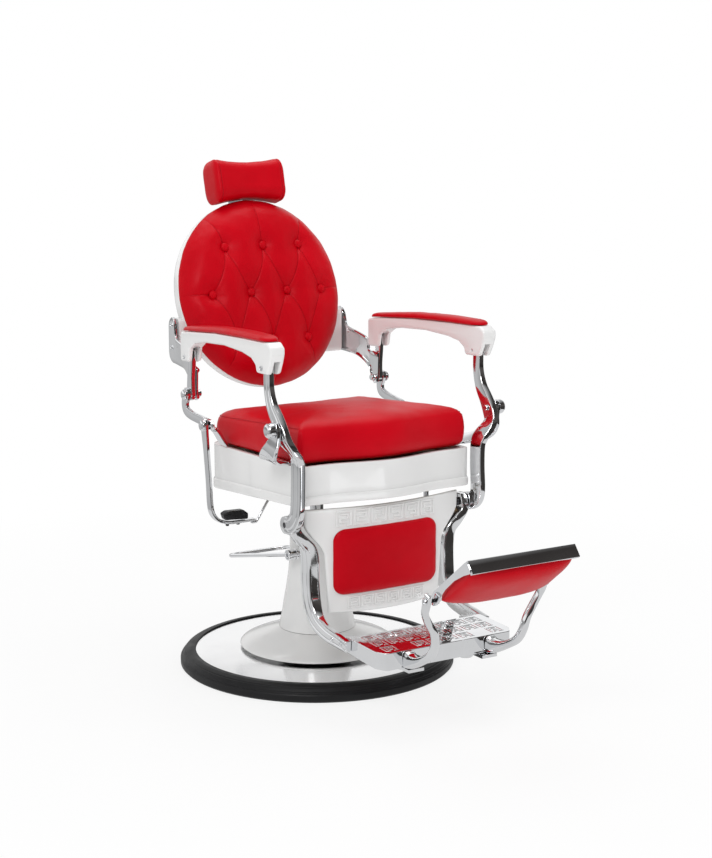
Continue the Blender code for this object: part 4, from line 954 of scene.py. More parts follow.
def build_back_cushion():
    """Tufted disc: a bowed face with pleats between the buttons, a rolled rim and a flat back."""
    count = 300
    flat = np.array([disc_point(i, j, count) for i in range(count + 1) for j in range(count + 1)])
    reach = np.hypot(flat[:, 0], flat[:, 1])
    curve = smooth_path([(*point, 0.0) for point in DISC_PROFILE], 8)
    depth = np.interp(reach, [point.x for point in curve], [point.y for point in curve])
    plane = np.hstack([flat, np.zeros((len(flat), 1))])
    fold = distance_to_lines(plane, [[(x, v, 0.0) for x, v in line] for line in pleats()])
    button = np.full(len(flat), 1e9)
    for x, v in buttons():
        button = np.minimum(button, np.hypot(flat[:, 0] - x, flat[:, 1] - v))
    fade = np.clip((DISC_R - reach) / 0.03, 0.0, 1.0) ** 0.7
    valley, crease_line = (0.003, 0.014), (0.0017, 0.0023)
    pull, pinch = (0.012, 0.03), (0.0035, 0.013)
    depth += sink(fold, *valley) * fade + sink(fold, *crease_line) * fade
    depth += sink(button, *pinch) + sink(button, *pull)
    verts = [DISC @ Vector((x, w, v)) for (x, v), w in zip(flat, depth)]
    faces = []
    side = count + 1
    for i in range(count):
        for j in range(count):
            a = i * side + j
            faces.append((a, a + 1, a + side + 1, a + side))
    border = [i * side for i in range(count)] + [count * side + j for j in range(count)]
    border += [i * side + count for i in range(count, 0, -1)] + [j for j in range(count, 0, -1)]
    previous = border
    flat_back = 0.0493
    for radius, w in ((0.228, 0.049), (0.221, flat_back), (0.1, flat_back)):
        start = len(verts)
        for index in border:
            x, v = flat[index]
            scale = radius / hypot(x, v)
            verts.append(DISC @ Vector((x * scale, w, v * scale)))
        ring = list(range(start, start + len(border)))
        for k in range(len(ring)):
            n = (k + 1) % len(ring)
            faces.append((previous[k], previous[n], ring[n], ring[k]))
        previous = ring
    verts.append(DISC @ Vector((0.0, flat_back, 0.0)))
    for k in range(len(previous)):
        faces.append((previous[k], previous[(k + 1) % len(previous)], len(verts) - 1))
    cushion = piece("tufted_back", verts, faces, LEATHER, "backrest", ["back_cushion"], 75.0)
    ruffle(cushion, 0.001, 26.0, (1.0, 1.0, 1.0), (4.0, 1.0, 0.0))

    for number, (x, v) in enumerate(buttons(), 1):
        nearest = np.argmin(np.hypot(flat[:, 0] - x, flat[:, 1] - v))
        spot = DISC @ Vector((x, depth[nearest] - 0.0015, v))
        place = Matrix.Translation(spot) @ Matrix.Rotation(-BACK_LEAN + pi / 2, 4, "X")
        profile = [(0.0, 0.0), (0.0075, 0.0), (0.0099, 0.0014), (0.0106, 0.0036), (0.0098, 0.0062),
                   (0.0071, 0.0086), (0.0037, 0.0098), (0.0, 0.0101)]
        turned(f"tuft_button_{number:02d}", profile, LEATHER, "backrest", (), place, 32, 0.0008)


def build_back_shell():
    """Dished white shell behind the disc, with an ear at each side for its bracket."""
    rear = 0.088
    profile = [(0.2215, 0.05), (0.2255, 0.0498), (0.2274, 0.051), (0.228, 0.054), (0.2279, 0.069),
               (0.227, 0.0765), (0.224, 0.082), (0.218, 0.086), (0.207, rear - 0.0004),
               (0.19, rear + 0.0012), (0.1, rear + 0.0045), (0.0, rear + 0.0052)]
    outer = [tuple(p) for p in smooth_path(profile, 4)]
    inner = [(0.0, rear - 0.005), (0.205, rear - 0.005), (0.219, 0.07), (0.22, 0.052)]
    shell = turned("rear_shell", outer + inner, WHITE_CASTING, "backrest", ["back_shell"],
                   DISC @ TO_Y, 160)
    for _, sign in SIDES:
        corners = [(0.26, 0.708), (0.301, 0.708), (0.301, 0.817), (0.26, 0.817)]
        outline = rounded(corners, 0.014, 8)
        rings = [[(sign * x, y, z) for y, z in outline] for x in (0.175, 0.2282)]
        ear = loft("ear", rings, WHITE_CASTING, "backrest")
        room = [(0.0, -0.03), (0.2312, -0.03), (0.2312, 0.0503), (0.2212, 0.052), (0.2205, 0.07),
                (0.2065, rear - 0.0048), (0.0, rear - 0.0048)]
        carve(ear, [turned("room", room, WHITE_CASTING, "backrest", (), DISC @ TO_Y, 160, 0.0)])
        carve(shell, [ear], "UNION")
        x0, x1 = both(sign, 0.2282, 0.26)
        low, high = (x0, 0.23, 0.7), (x1, 0.32, 0.8236)
        carve(shell, [block("face", low, high, WHITE_CASTING, "backrest")])
    finish_solid("back_board", PLYWOOD, 0.0008)


def build_back_brackets():
    """Cast plates that carry the backrest, with a sunk inner face, and the flat posts."""
    lower = [(0.3018, 0.732), (0.299, 0.72), (0.293, 0.713), (0.284, 0.7098), (0.27, 0.7092),
             (0.2403, 0.7072), (0.2086, 0.7036), (0.1807, 0.6927), (0.156, 0.674), (0.148, 0.656),
             (0.136, 0.64), (0.123, 0.644)]
    upper = [(0.3018, 0.801), (0.299, 0.811), (0.293, 0.817), (0.284, 0.82), (0.274, 0.819),
             (0.2635, 0.808), (0.256, 0.775), (0.2052, 0.7616), (0.17, 0.749), (0.164, 0.722),
             (0.136, 0.72), (0.12, 0.716)]
    low_line = smooth_path([(*point, 0.0) for point in lower], 4)
    high_line = smooth_path([(*point, 0.0) for point in upper], 4)

    def inner_x(y):
        return 0.2455 - 0.0165 * min(max((y - 0.16) / 0.13, 0.0), 1.0)

    for side, sign in SIDES:
        rings = []
        for low, high in zip(low_line, high_line):
            ring = []
            count = 22
            span = (high - low).length
            for layer in (0, 1):
                for i in range(count + 1):
                    t = i / count if layer == 0 else 1.0 - i / count
                    point = low.lerp(high, t)
                    edge = min(t, 1.0 - t) * span
                    x = inner_x((low.x + high.x) / 2.0)
                    hollow = 0.004 * ease((edge - 0.0058) / 0.003)
                    roll = 0.0018 * (1.0 - min(edge / 0.002, 1.0)) ** 2
                    offset = 0.0074 - roll if layer else hollow + roll
                    ring.append((sign * (x + offset), point.x, point.y))
            rings.append(ring)
        loft("dished_bracket_" + side, rings, CASTING, "backrest", ["back_bracket_" + side])
        for label, y, z in (("upper", 0.283, 0.801), ("lower", 0.283, 0.746)):
            place = along_x((0.0, y, z), sign, inner_x(y) + 0.0073)
            bolt_head(f"bracket_bolt_{label}_{side}", place, 0.0062, 0.0034, CHROME, "backrest")

        path = [(0.26, 0.13, 0.759), (0.26, 0.132, 0.725), (0.26, 0.136, 0.69), (0.26, 0.137, 0.655),
                (0.26, 0.134, 0.642)]
        halves = [(0.01, 0.0063), (0.0105, 0.0063), (0.011, 0.0063), (0.0125, 0.0063), (0.0085, 0.0063)]
        sweep("arm_post_" + side, path, halves, CHROME, "backrest", ["rear_post_" + side], sign,
              steps=8, flutes=0.001)


def build_headrest():
    """Head pad: a hollowed roll with a seam round each end, on its plate and bar."""
    finish_solid("headrest_socket", CHROME, 0.0004)
    finish_solid("headrest_bar", CHROME, 0.001)
    finish_solid("headrest_plate", CHROME, 0.001)
    rise, setback, half_w = 0.283, 0.046, 0.097
    ends = [-1.0, -0.994, -0.98, -0.962, -0.942, -0.922, -0.902, -0.884, -0.872, -0.86, -0.848, -0.83, -0.8]
    stations = ends + [-0.76 + 0.04 * i for i in range(39)] + [-t for t in reversed(ends)]
    rings = []
    for t in stations:
        end = max(abs(t) - 0.86, 0.0) / 0.14
        bulge = sqrt(max(1.0 - end ** 2.0, 0.0))
        size = 0.55 + 0.45 * bulge
        seam = 0.0022 * np.exp(-((abs(t) - 0.86) * half_w / 0.002) ** 2)
        half_d = 0.0425 * size
        top = (0.046 + 0.0115 * t * t) * size
        bottom = (0.0425 + 0.0145 * t * t) * size
        hollow = 0.0065 * (1.0 - t * t)
        corners = [(-half_d, -bottom), (half_d, -bottom), (half_d, top), (-half_d, top)]
        ring = []
        for y, z in rounded(corners, 0.034 * size, 14):
            front = ease(-y / half_d)
            y += hollow * front * (1.0 - min(abs(z) / 0.05, 1.0))
            reach = hypot(y, z)
            scale = (reach - seam) / reach
            ring.append(BACK @ Vector((half_w * t, setback + y * scale, rise + z * scale)))
        rings.append(ring)
    cushion = loft("head_pad", rings, LEATHER, "headrest", ["headrest_cushion"], sharp=75.0)
    ruffle(cushion, 0.0009, 30.0, (1.0, 1.0, 1.0), (2.0, 5.0, 1.0))
    for side, sign in SIDES:
        index = min(range(len(stations)), key=lambda i: abs(stations[i] - sign * 0.86))
        loop = settle([Vector(p) for p in rings[index]], cushion, 0.0002)
        stitch("head_seam_" + side, loop + loop[:1], "headrest", 0.0009)


# ---- front links and armrests --------------------------------------------------------
def bore(obj, axis_point, radius, low, high, sign=1.0, segments=32):
    """A round hole along X through one piece."""
    profile = [(0.0, low), (radius, low), (radius, high), (0.0, high)]
    cutter = turned("bore", profile, CHROME, "seat", (), along_x(axis_point, sign), segments, 0.0)
    return carve(obj, [cutter])


def disc(name, axis_point, radius, low, high, sign, material, body, edge=0.0012):
    """A round boss on an axis along X."""
    profile = [(0.0, low), (radius, low), (radius, high), (0.0, high)]
    return turned(name, profile, material, body, (), along_x(axis_point, sign), 56, edge)


def build_front_links():
    """S-shaped fluted links from the armrests down to the legrest, with their pins."""
    for side, sign in SIDES:
        path = [(0.276, -0.2685, 0.777), (0.276, -0.268, 0.757), (0.276, -0.2695, 0.72),
                (0.2755, -0.282, 0.685), (0.2745, -0.304, 0.657), (0.274, -0.319, 0.634),
                (0.271, -0.3285, 0.615), (0.259, -0.331, 0.598), (0.244, -0.3285, 0.58),
                (0.2375, -0.3245, 0.56), (0.237, -0.3235, 0.512), (0.239, -0.324, 0.46),
                (0.2405, -0.317, 0.436), (0.2405, -0.299, 0.4215), (0.2405, -0.281, 0.42)]
        upper, low = (0.0135, 0.00635), (0.0205, 0.0075)
        halves = [upper, upper, (0.014, 0.0065), (0.0155, 0.0072), (0.018, 0.0075)]
        halves += [low] * 7 + [(0.02, 0.0075), (0.019, 0.0075), (0.0185, 0.0075)]
        name = "fluted_link_" + side
        link = sweep(name, path, halves, CASTING, "front_links", ["front_link_" + side], sign,
                     steps=6, flutes=0.0019)
        knee = AXIS["legrest_swing"]
        carve(link, [disc("knuckle", knee, 0.0195, 0.2331, 0.2479, sign, CASTING, "front_links")], "UNION")
        bore(link, AXIS["front_link_swing"], 0.0056, 0.25, 0.3, sign)
        bore(link, knee, 0.0063, 0.22, 0.26, sign)
        bore(link, AXIS["armrest_tilt"], 0.0036, 0.25, 0.3, sign)
        finish_solid("knee_pin_" + side, DARK_STEEL, 0.0005)

        profile = [(0.0, 0.2585), (0.0033, 0.2585), (0.0033, 0.2942), (0.0061, 0.2942), (0.0059, 0.2956),
                   (0.0046, 0.2968), (0.0026, 0.2972), (0.002, 0.296), (0.0, 0.2958)]
        turned("arm_bolt_" + side, profile, CHROME, "front_links", ["arm_screw_" + side],
               along_x(AXIS["armrest_tilt"], sign), 32, 0.0003)


def arm_shift(y):
    """Armrests toe in towards the rear: their middle plane at a given y."""
    return 0.2755 - 0.0375 * (y - AXIS["armrest_tilt"].y)


def outline_normals(outline):
    """Outward unit normal at each point of a closed outline."""
    count = len(outline)
    area = sum(outline[i - 1][0] * outline[i][1] - outline[i][0] * outline[i - 1][1] for i in range(count))
    turn = 1.0 if area > 0.0 else -1.0
    normals = []
    for i in range(count):
        dy = outline[(i + 1) % count][0] - outline[i - 1][0]
        dz = outline[(i + 1) % count][1] - outline[i - 1][1]
        length = max(hypot(dy, dz), 1e-9)
        normals.append((turn * dz / length, -turn * dy / length))
    return normals


def build_armrests():
    """White arm shells with slots for the links, rear bolts and red pads."""
    top = [(0.158, 0.801), (0.112, 0.8065), (-0.032, 0.818), (-0.177, 0.8235), (-0.295, 0.8255)]
    nose = [(-0.3115, 0.815), (-0.3118, 0.8), (-0.3035, 0.779), (-0.292, 0.756)]
    under = [(-0.24, 0.7545), (-0.236, 0.77), (-0.215, 0.783), (-0.17, 0.7905), (-0.08, 0.795),
             (0.02, 0.79), (0.08, 0.781), (0.106, 0.766), (0.112, 0.7345), (0.158, 0.7315)]
    outline = rounded(top + nose + under, 0.0095, 5)
    normals = outline_normals(outline)
    half, roll = 0.018, 0.0055
    layers = [(-half + roll * (1.0 - sin(a)), roll * (1.0 - cos(a))) for a in
              [pi / 2, pi / 2.6, pi / 3.6, pi / 5.5, pi / 12, 0.0]]
    layers += [(-x, edge) for x, edge in reversed(layers)]
    for side, sign in SIDES:
        rings = []
        for offset, edge in layers:
            ring = []
            for (y, z), (ny, nz) in zip(outline, normals):
                y, z = y - ny * edge, z - nz * edge
                ring.append((sign * (arm_shift(y) + offset), y, z))
            rings.append(ring)
        arm = loft("arm_shell_" + side, rings, WHITE_CASTING, "armrests", ["armrest_" + side])
        slots = [("front_slot", AXIS["armrest_tilt"].y, 0.0074, (-0.33, 0.74), (-0.2485, 0.7845))]
        slots.append(("rear_slot", 0.13, 0.009, (0.09, 0.71), (0.15, 0.769)))
        cutters = []
        for name, y, half_slot, low, high in slots:
            x0, x1 = both(sign, arm_shift(y) - half_slot, arm_shift(y) + half_slot)
            cutters.append(block(name, (x0, *low), (x1, *high), WHITE_CASTING, "armrests"))
        carve(arm, cutters)
        bore(arm, AXIS["armrest_tilt"], 0.0036, 0.24, 0.31, sign)
        eased(arm, 0.0007, 2, 40.0)
        place = along_x((0.0, 0.133, 0.744), sign, arm_shift(0.133) + 0.0178)
        bolt_head("arm_rear_bolt_" + side, place, 0.0052, 0.0026, CHROME, "armrests")
        arm_pad("arm_cushion_" + side, sign, side)


def blend(table, key):
    """Linear look-up in a list of rows sorted by their first number."""
    for a, b in zip(table[:-1], table[1:]):
        if key <= b[0]:
            t = (key - a[0]) / (b[0] - a[0])
            return [p + (q - p) * t for p, q in zip(a[1:], b[1:])]
    return list(table[-1][1:])


def arm_pad(name, sign, side):
    """A crowned pad on the armrest, wider towards its front end."""
    table = [(-0.29, 0.8266, 1.0, 0.0105), (-0.255, 0.8256, 1.0, 0.0125), (-0.177, 0.8242, 1.0, 0.014),
             (-0.1, 0.8215, 0.97, 0.0145), (-0.032, 0.8187, 0.92, 0.0138), (0.06, 0.8115, 0.86, 0.0122),
             (0.125, 0.8065, 0.82, 0.0105), (0.153, 0.8036, 0.8, 0.009)]
    low, high, nose, heel = table[0][0], table[-1][0], 0.032, 0.022
    stations = [low + nose * (1.0 - cos(i * pi / 32)) for i in range(17)]
    stations += [low + nose + (high - low - nose - heel) * i / 60 for i in range(1, 60)]
    stations += [high - heel * (1.0 - sin(i * pi / 32)) for i in range(17)]
    rings = []
    for y in stations:
        z, width, crown = blend(table, y)
        reach = max((low + nose - y) / nose, (y - high + heel) / heel, 0.0)
        end = max(1.0 - reach ** 2.2, 0.0) ** (1 / 2.2)
        half = 0.0218 * width * (0.08 + 0.92 * end)
        crown = crown * (0.08 + 0.92 * end ** 0.8)
        ring = [(half * 0.9 * (1.0 - 2.0 * i / 8.0), 0.0) for i in range(9)]
        for i in range(1, 28):
            angle = pi + i * pi / 28.0
            x = half * abs(cos(angle)) ** 0.62 * (1.0 if cos(angle) > 0 else -1.0)
            rise = abs(sin(angle)) ** 0.8
            ring.append((x * (1.0 if rise > 0.25 else 0.9 + 0.4 * rise), rise * crown))
        rings.append([(sign * (arm_shift(y) + dx), y, z + 0.0004 + dz) for dx, dz in ring])
    pad = loft(name, rings, LEATHER, "armrests", ["arm_pad_" + side], sharp=80.0)
    ruffle(pad, 0.00035, 45.0, (1.0, 1.0, 1.0), (0.0, 3.0, 1.0))


# ---- legrest -------------------------------------------------------------------------
PANEL_TOP, PANEL_BOTTOM, PANEL_Y = 0.45, 0.212, -0.295


def panel_half_width(z):
    """Half width of the calf panel: straight sides that flare into wings at the top."""
    rise = min((z - PANEL_BOTTOM) / 0.138, 1.0)
    return 0.146 + 0.01 * rise + 0.0473 * ease((z - 0.342) / 0.078)


def panel_face(x):
    """Front surface of the calf panel: upright, bowed forward in the middle."""
    return PANEL_Y - 0.016 * (1.0 - (x / 0.19) ** 2)


def spread(count, ends=6, reach=0.06):
    """Shares 0..1, crowded towards both ends so that edges can roll over."""
    edge = [reach * (1.0 - cos(i * pi / (2 * ends))) for i in range(ends)]
    middle = [reach + (1.0 - 2 * reach) * i / count for i in range(count + 1)]
    return edge + middle + [1.0 - e for e in reversed(edge)]


def slab(name, half_width, z_low, z_high, front, back, material, body, stands_for, columns, rows,
         sag=(0.0, 0.0)):
    """A closed slab on the panel's curve: front and back are offsets from the panel's face."""
    us, vs = spread(columns), spread(rows)
    verts, faces = [], []
    for layer in (front, back):
        for v in vs:
            z = z_low + (z_high - z_low) * v
            for u in us:
                x = half_width(z) * (2.0 * u - 1.0)
                middle = 1.0 - (2.0 * u - 1.0) ** 2
                dip = (sag[0] * (1.0 - v) + sag[1] * v) * middle
                verts.append((x, panel_face(x) + layer(u, v), z - dip))
    wide, tall = len(us), len(vs)
    size = wide * tall
    for layer in (0, size):
        for r in range(tall - 1):
            for c in range(wide - 1):
                a = layer + r * wide + c
                faces.append((a, a + 1, a + wide + 1, a + wide))
    edge = [c for c in range(wide)] + [r * wide + wide - 1 for r in range(1, tall)]
    edge += [size - 1 - c for c in range(1, wide)] + [(tall - 1 - r) * wide for r in range(1, tall - 1)]
    for i, a in enumerate(edge):
        b = edge[(i + 1) % len(edge)]
        faces.append((a, b, b + size, a + size))
    return piece(name, verts, faces, material, body, stands_for, 70.0)


def ribbon(verts, faces, line, width, height, sink, surface, step=0.006):
    """One raised line of a key pattern, mitred at its corners and laid on a surface."""
    points = []
    for a, b in zip(line[:-1], line[1:]):
        a, b = Vector(a), Vector(b)
        count = max(int((b - a).length / step), 1)
        points += [(a.lerp(b, i / count), i == 0) for i in range(count)]
    points.append((Vector(line[-1]), True))
    rows = []
    for i, (here, _) in enumerate(points):
        before = (here - points[max(i - 1, 0)][0])
        after = (points[min(i + 1, len(points) - 1)][0] - here)
        before = (before if before.length else after).normalized()
        after = (after if after.length else before).normalized()
        n1, n2 = Vector((-before.y, before.x)), Vector((-after.y, after.x))
        mitre = (n1 + n2) / (1.0 + n1.dot(n2))
        row = []
        for share, lift in ((-1.0, -sink), (-1.0, height * 0.55), (-0.72, height), (0.72, height),
                            (1.0, height * 0.55), (1.0, -sink)):
            spot = here + mitre * (share * width / 2.0)
            row.append(surface(spot.x, spot.y, lift))
        rows.append(row)
    start = len(verts)
    for row in rows:
        verts += row
    for i in range(len(rows) - 1):
        for j in range(6):
            a = start + i * 6 + j
            b = start + i * 6 + (j + 1) % 6
            faces.append((a, b, b + 6, a + 6))
    faces.append(tuple(start + j for j in range(5, -1, -1)))
    faces.append(tuple(start + (len(rows) - 1) * 6 + j for j in range(6)))


KEY_FRAME = [(0.34, 0.0), (0.0, 0.0), (0.0, 1.0), (1.0, 1.0), (1.0, 0.0), (0.66, 0.0)]
KEY_HOOK = [(0.26, 0.78), (0.76, 0.78), (0.76, 0.5), (0.26, 0.5), (0.26, 0.24), (0.66, 0.24)]


def key_row(name, centres, size, width, surface, material, body, height=0.0011):
    """A row of key motifs, mirrored about the middle."""
    verts, faces = [], []
    for x, y in centres:
        flip = -1.0 if x > 0 else 1.0
        for shape in (KEY_FRAME, KEY_HOOK):
            line = [(x + flip * (px - 0.5) * size[0], y + (py - 0.5) * size[1]) for px, py in shape]
            ribbon(verts, faces, line, width, height, 0.0006, surface)
    return piece(name, verts, faces, material, body, (), 50.0)


def build_calf_panel():
    """White panel with a key row above and below its red pad."""
    def roll(u, v, wide, tall, radius):
        d = min(u * wide, (1.0 - u) * wide, v * tall, (1.0 - v) * tall)
        return radius - sqrt(max(radius ** 2 - max(radius - d, 0.0) ** 2, 0.0))

    def front(u, v):
        return roll(u, v, wide, tall, 0.0032)

    def back(u, v):
        return thick - roll(u, v, wide, tall, 0.0012)

    wide, tall, thick = 0.32, PANEL_TOP - PANEL_BOTTOM, 0.009
    slab("shaped_panel", panel_half_width, PANEL_BOTTOM, PANEL_TOP, front, back,
         WHITE_CASTING, "legrest", ["calf_panel"], 60, 44, (0.008, 0.0045))

    def on_panel(x, z, lift):
        return Vector((x, panel_face(x) - lift, z))

    upper = [(-0.111 + 0.0444 * i, 0.424) for i in range(6)]
    lower = [(-0.0865 + 0.0346 * i, 0.23) for i in range(6)]
    key_row("upper_keys", upper, (0.0355, 0.032), 0.0036, on_panel, WHITE_CASTING, "legrest", 0.003)
    key_row("lower_keys", lower, (0.0275, 0.024), 0.0029, on_panel, WHITE_CASTING, "legrest", 0.0026)

    middle, half_tall = 0.3245, 0.075

    def pad_half(z):
        reach = min(abs(z - middle) / half_tall, 1.0)
        corner = max(reach - 0.66, 0.0) / 0.34
        return 0.137 - 0.03 * (1.0 - max(1.0 - corner ** 2, 0.0) ** 0.5)

    def pad_front(u, v):
        across = 1.0 - abs(2.0 * u - 1.0) ** 5
        up = 1.0 - abs(2.0 * v - 1.0) ** 4.5
        near = min(u * 0.268, (1.0 - u) * 0.268, v * 0.157, (1.0 - v) * 0.157)
        lip = 1.0 - exp(-near / 0.0035)
        return -0.001 - 0.005 * lip - 0.0098 * (max(across, 0.0) * max(up, 0.0)) ** 0.75

    pad = slab("calf_cushion", pad_half, middle - half_tall, middle + half_tall, pad_front,
               lambda u, v: -0.0008, LEATHER, "legrest", ["calf_pad"], 70, 44)
    ruffle(pad, 0.0006, 24.0, (1.0, 0.0, 1.0), (3.0, 0.0, 5.0))


def build_legrest():
    """Fluted leg arms with their bolts, and the stop rod under the seat."""
    for side, sign in SIDES:
        path = [(0.2222, -0.279, 0.439), (0.2222, -0.28, 0.4205), (0.2222, -0.281, 0.403),
                (0.206, -0.28, 0.383), (0.187, -0.2775, 0.362), (0.18, -0.2765, 0.33),
                (0.18, -0.2775, 0.275), (0.18, -0.285, 0.235), (0.1815, -0.308, 0.202),
                (0.183, -0.35, 0.185), (0.183, -0.4, 0.1795), (0.183, -0.44, 0.176)]
        halves = [(0.012, 0.0088), (0.0185, 0.0092), (0.019, 0.0096), (0.0195, 0.012), (0.02, 0.0136),
                  (0.0205, 0.015), (0.0205, 0.015), (0.0205, 0.014), (0.02, 0.011), (0.017, 0.0078),
                  (0.015, 0.0078), (0.0125, 0.0078)]
        arm = sweep("fluted_leg_" + side, path, halves, CASTING, "legrest", ["leg_arm_" + side], sign,
                    steps=7, flutes=0.0016)
        bore(arm, AXIS["legrest_swing"], 0.0063, 0.19, 0.24, sign)
        for label, y, z in (("rear", -0.385, 0.179), ("front", -0.422, 0.1775)):
            place = along_x((0.0, y, z), sign, 0.1906)
            bolt_head(f"leg_bolt_{label}_{side}", place, 0.0052, 0.0028, CHROME, "legrest")

    place = Matrix.Translation((0.12, -0.288, 0.0))
    profile = [(0.0, 0.4), (0.006, 0.4), (0.006, 0.456), (0.0045, 0.4575), (0.0, 0.4575)]
    turned("stop_rod", profile, CHROME, "legrest", ["calf_stop"], place, 40, 0.0004)


FOOT_TOP, FOOT_BOTTOM, FOOT_FRONT, FOOT_BACK, FOOT_HALF = 0.192, 0.15, -0.56, -0.43, 0.1745


def footplate_top(y):
    return FOOT_TOP - 0.004 * (y - FOOT_BACK) / (FOOT_FRONT - FOOT_BACK)


def build_footplate():
    """Cast plate with key reliefs on top, and the two swan-necked arms of the foot cushion."""
    plan = [(FOOT_BACK, FOOT_TOP), (FOOT_FRONT, FOOT_TOP - 0.004), (FOOT_FRONT, FOOT_BOTTOM),
            (-0.47, FOOT_BOTTOM + 0.004), (-0.375, 0.16), (-0.375, 0.178), (-0.415, 0.19)]
    rings = [[(x, y, z) for y, z in plan] for x in (-FOOT_HALF, FOOT_HALF)]
    body = loft("cast_footplate", rings, CASTING, "legrest", ["footplate"])
    shape = [(-FOOT_HALF, -0.36), (-FOOT_HALF, -0.536), (-0.16, FOOT_FRONT), (0.16, FOOT_FRONT),
             (FOOT_HALF, -0.536), (FOOT_HALF, -0.36)]
    outline = rounded(shape, 0.012, 6, keep=lambda p: p[1] > -0.37)
    trim = loft("trim", [[(x, y, z) for x, y in outline] for z in (0.12, 0.22)], CASTING, "legrest")
    carve(body, [trim], "INTERSECT")
    hollow = block("hollow", (-0.162, -0.548, 0.12), (0.162, FOOT_BACK - 0.008, 0.18),
                   CASTING, "legrest")
    notch = block("notch", (-0.154, FOOT_BACK, 0.12), (0.154, -0.34, 0.22), CASTING, "legrest")
    carve(body, [hollow, notch])
    eased(body, 0.0022, 3, 30.0)

    def on_plate(x, y, lift):
        return Vector((x, y, footplate_top(y) + lift))

    centres = [(-0.1365 + 0.039 * i, -0.453 - 0.04 * j) for i in range(8) for j in range(3)]
    keys = [(x, y) for x, y in centres if not (abs(x) > 0.06 and abs(x) < 0.1 and y < -0.52)]
    key_row("footplate_keys", keys, (0.029, 0.027), 0.003, on_plate, CASTING, "legrest", 0.0006)

    for side, sign in SIDES:
        path = [(0.106, FOOT_FRONT - 0.0024, 0.168), (0.1065, -0.578, 0.168), (0.109, -0.613, 0.179),
                (0.111, -0.65, 0.2), (0.113, -0.669, 0.227), (0.119, -0.674, 0.255),
                (0.134, -0.675, 0.28), (0.145, -0.679, 0.302), (0.148, -0.688, 0.322),
                (0.148, -0.696, 0.344)]
        halves = [(0.0195, 0.015), (0.016, 0.0135), (0.0098, 0.011), (0.0085, 0.0097), (0.0083, 0.0087),
                  (0.0083, 0.0082), (0.0083, 0.0076), (0.0086, 0.0066), (0.01, 0.006), (0.0092, 0.0055)]
        yoke = sweep("swan_arm_" + side, path, halves, CASTING, "legrest", ["yoke_arm_" + side], sign,
                     section=soft_section, steps=6)
        x0, x1 = both(sign, 0.076, 0.115)
        tongue = block("tongue", (x0, -0.575, 0.142), (x1, -0.498, 0.149), CASTING, "legrest")
        place = Matrix.Translation((sign * 0.0806, -0.505, 0.0))
        profile = [(0.0, 0.129), (0.015, 0.129), (0.017, 0.131), (0.017, 0.1487), (0.0, 0.1487)]
        foot = turned("foot", profile, CASTING, "legrest", (), place, 48, 0.0008)
        carve(yoke, [tongue, foot], "UNION")
        bore(yoke, AXIS["foot_cushion_fold"], 0.0045, 0.13, 0.17, sign)


def soft_section(a, b, _flutes=0.0, sides=28):
    """Squarish round section, as of a hand-finished casting."""
    points = []
    for i in range(sides):
        angle = 2.0 * pi * i / sides
        s, c = sin(angle), cos(angle)
        points.append((a * abs(c) ** 0.62 * (1 if c > 0 else -1), b * abs(s) ** 0.62 * (1 if s > 0 else -1)))
    return points


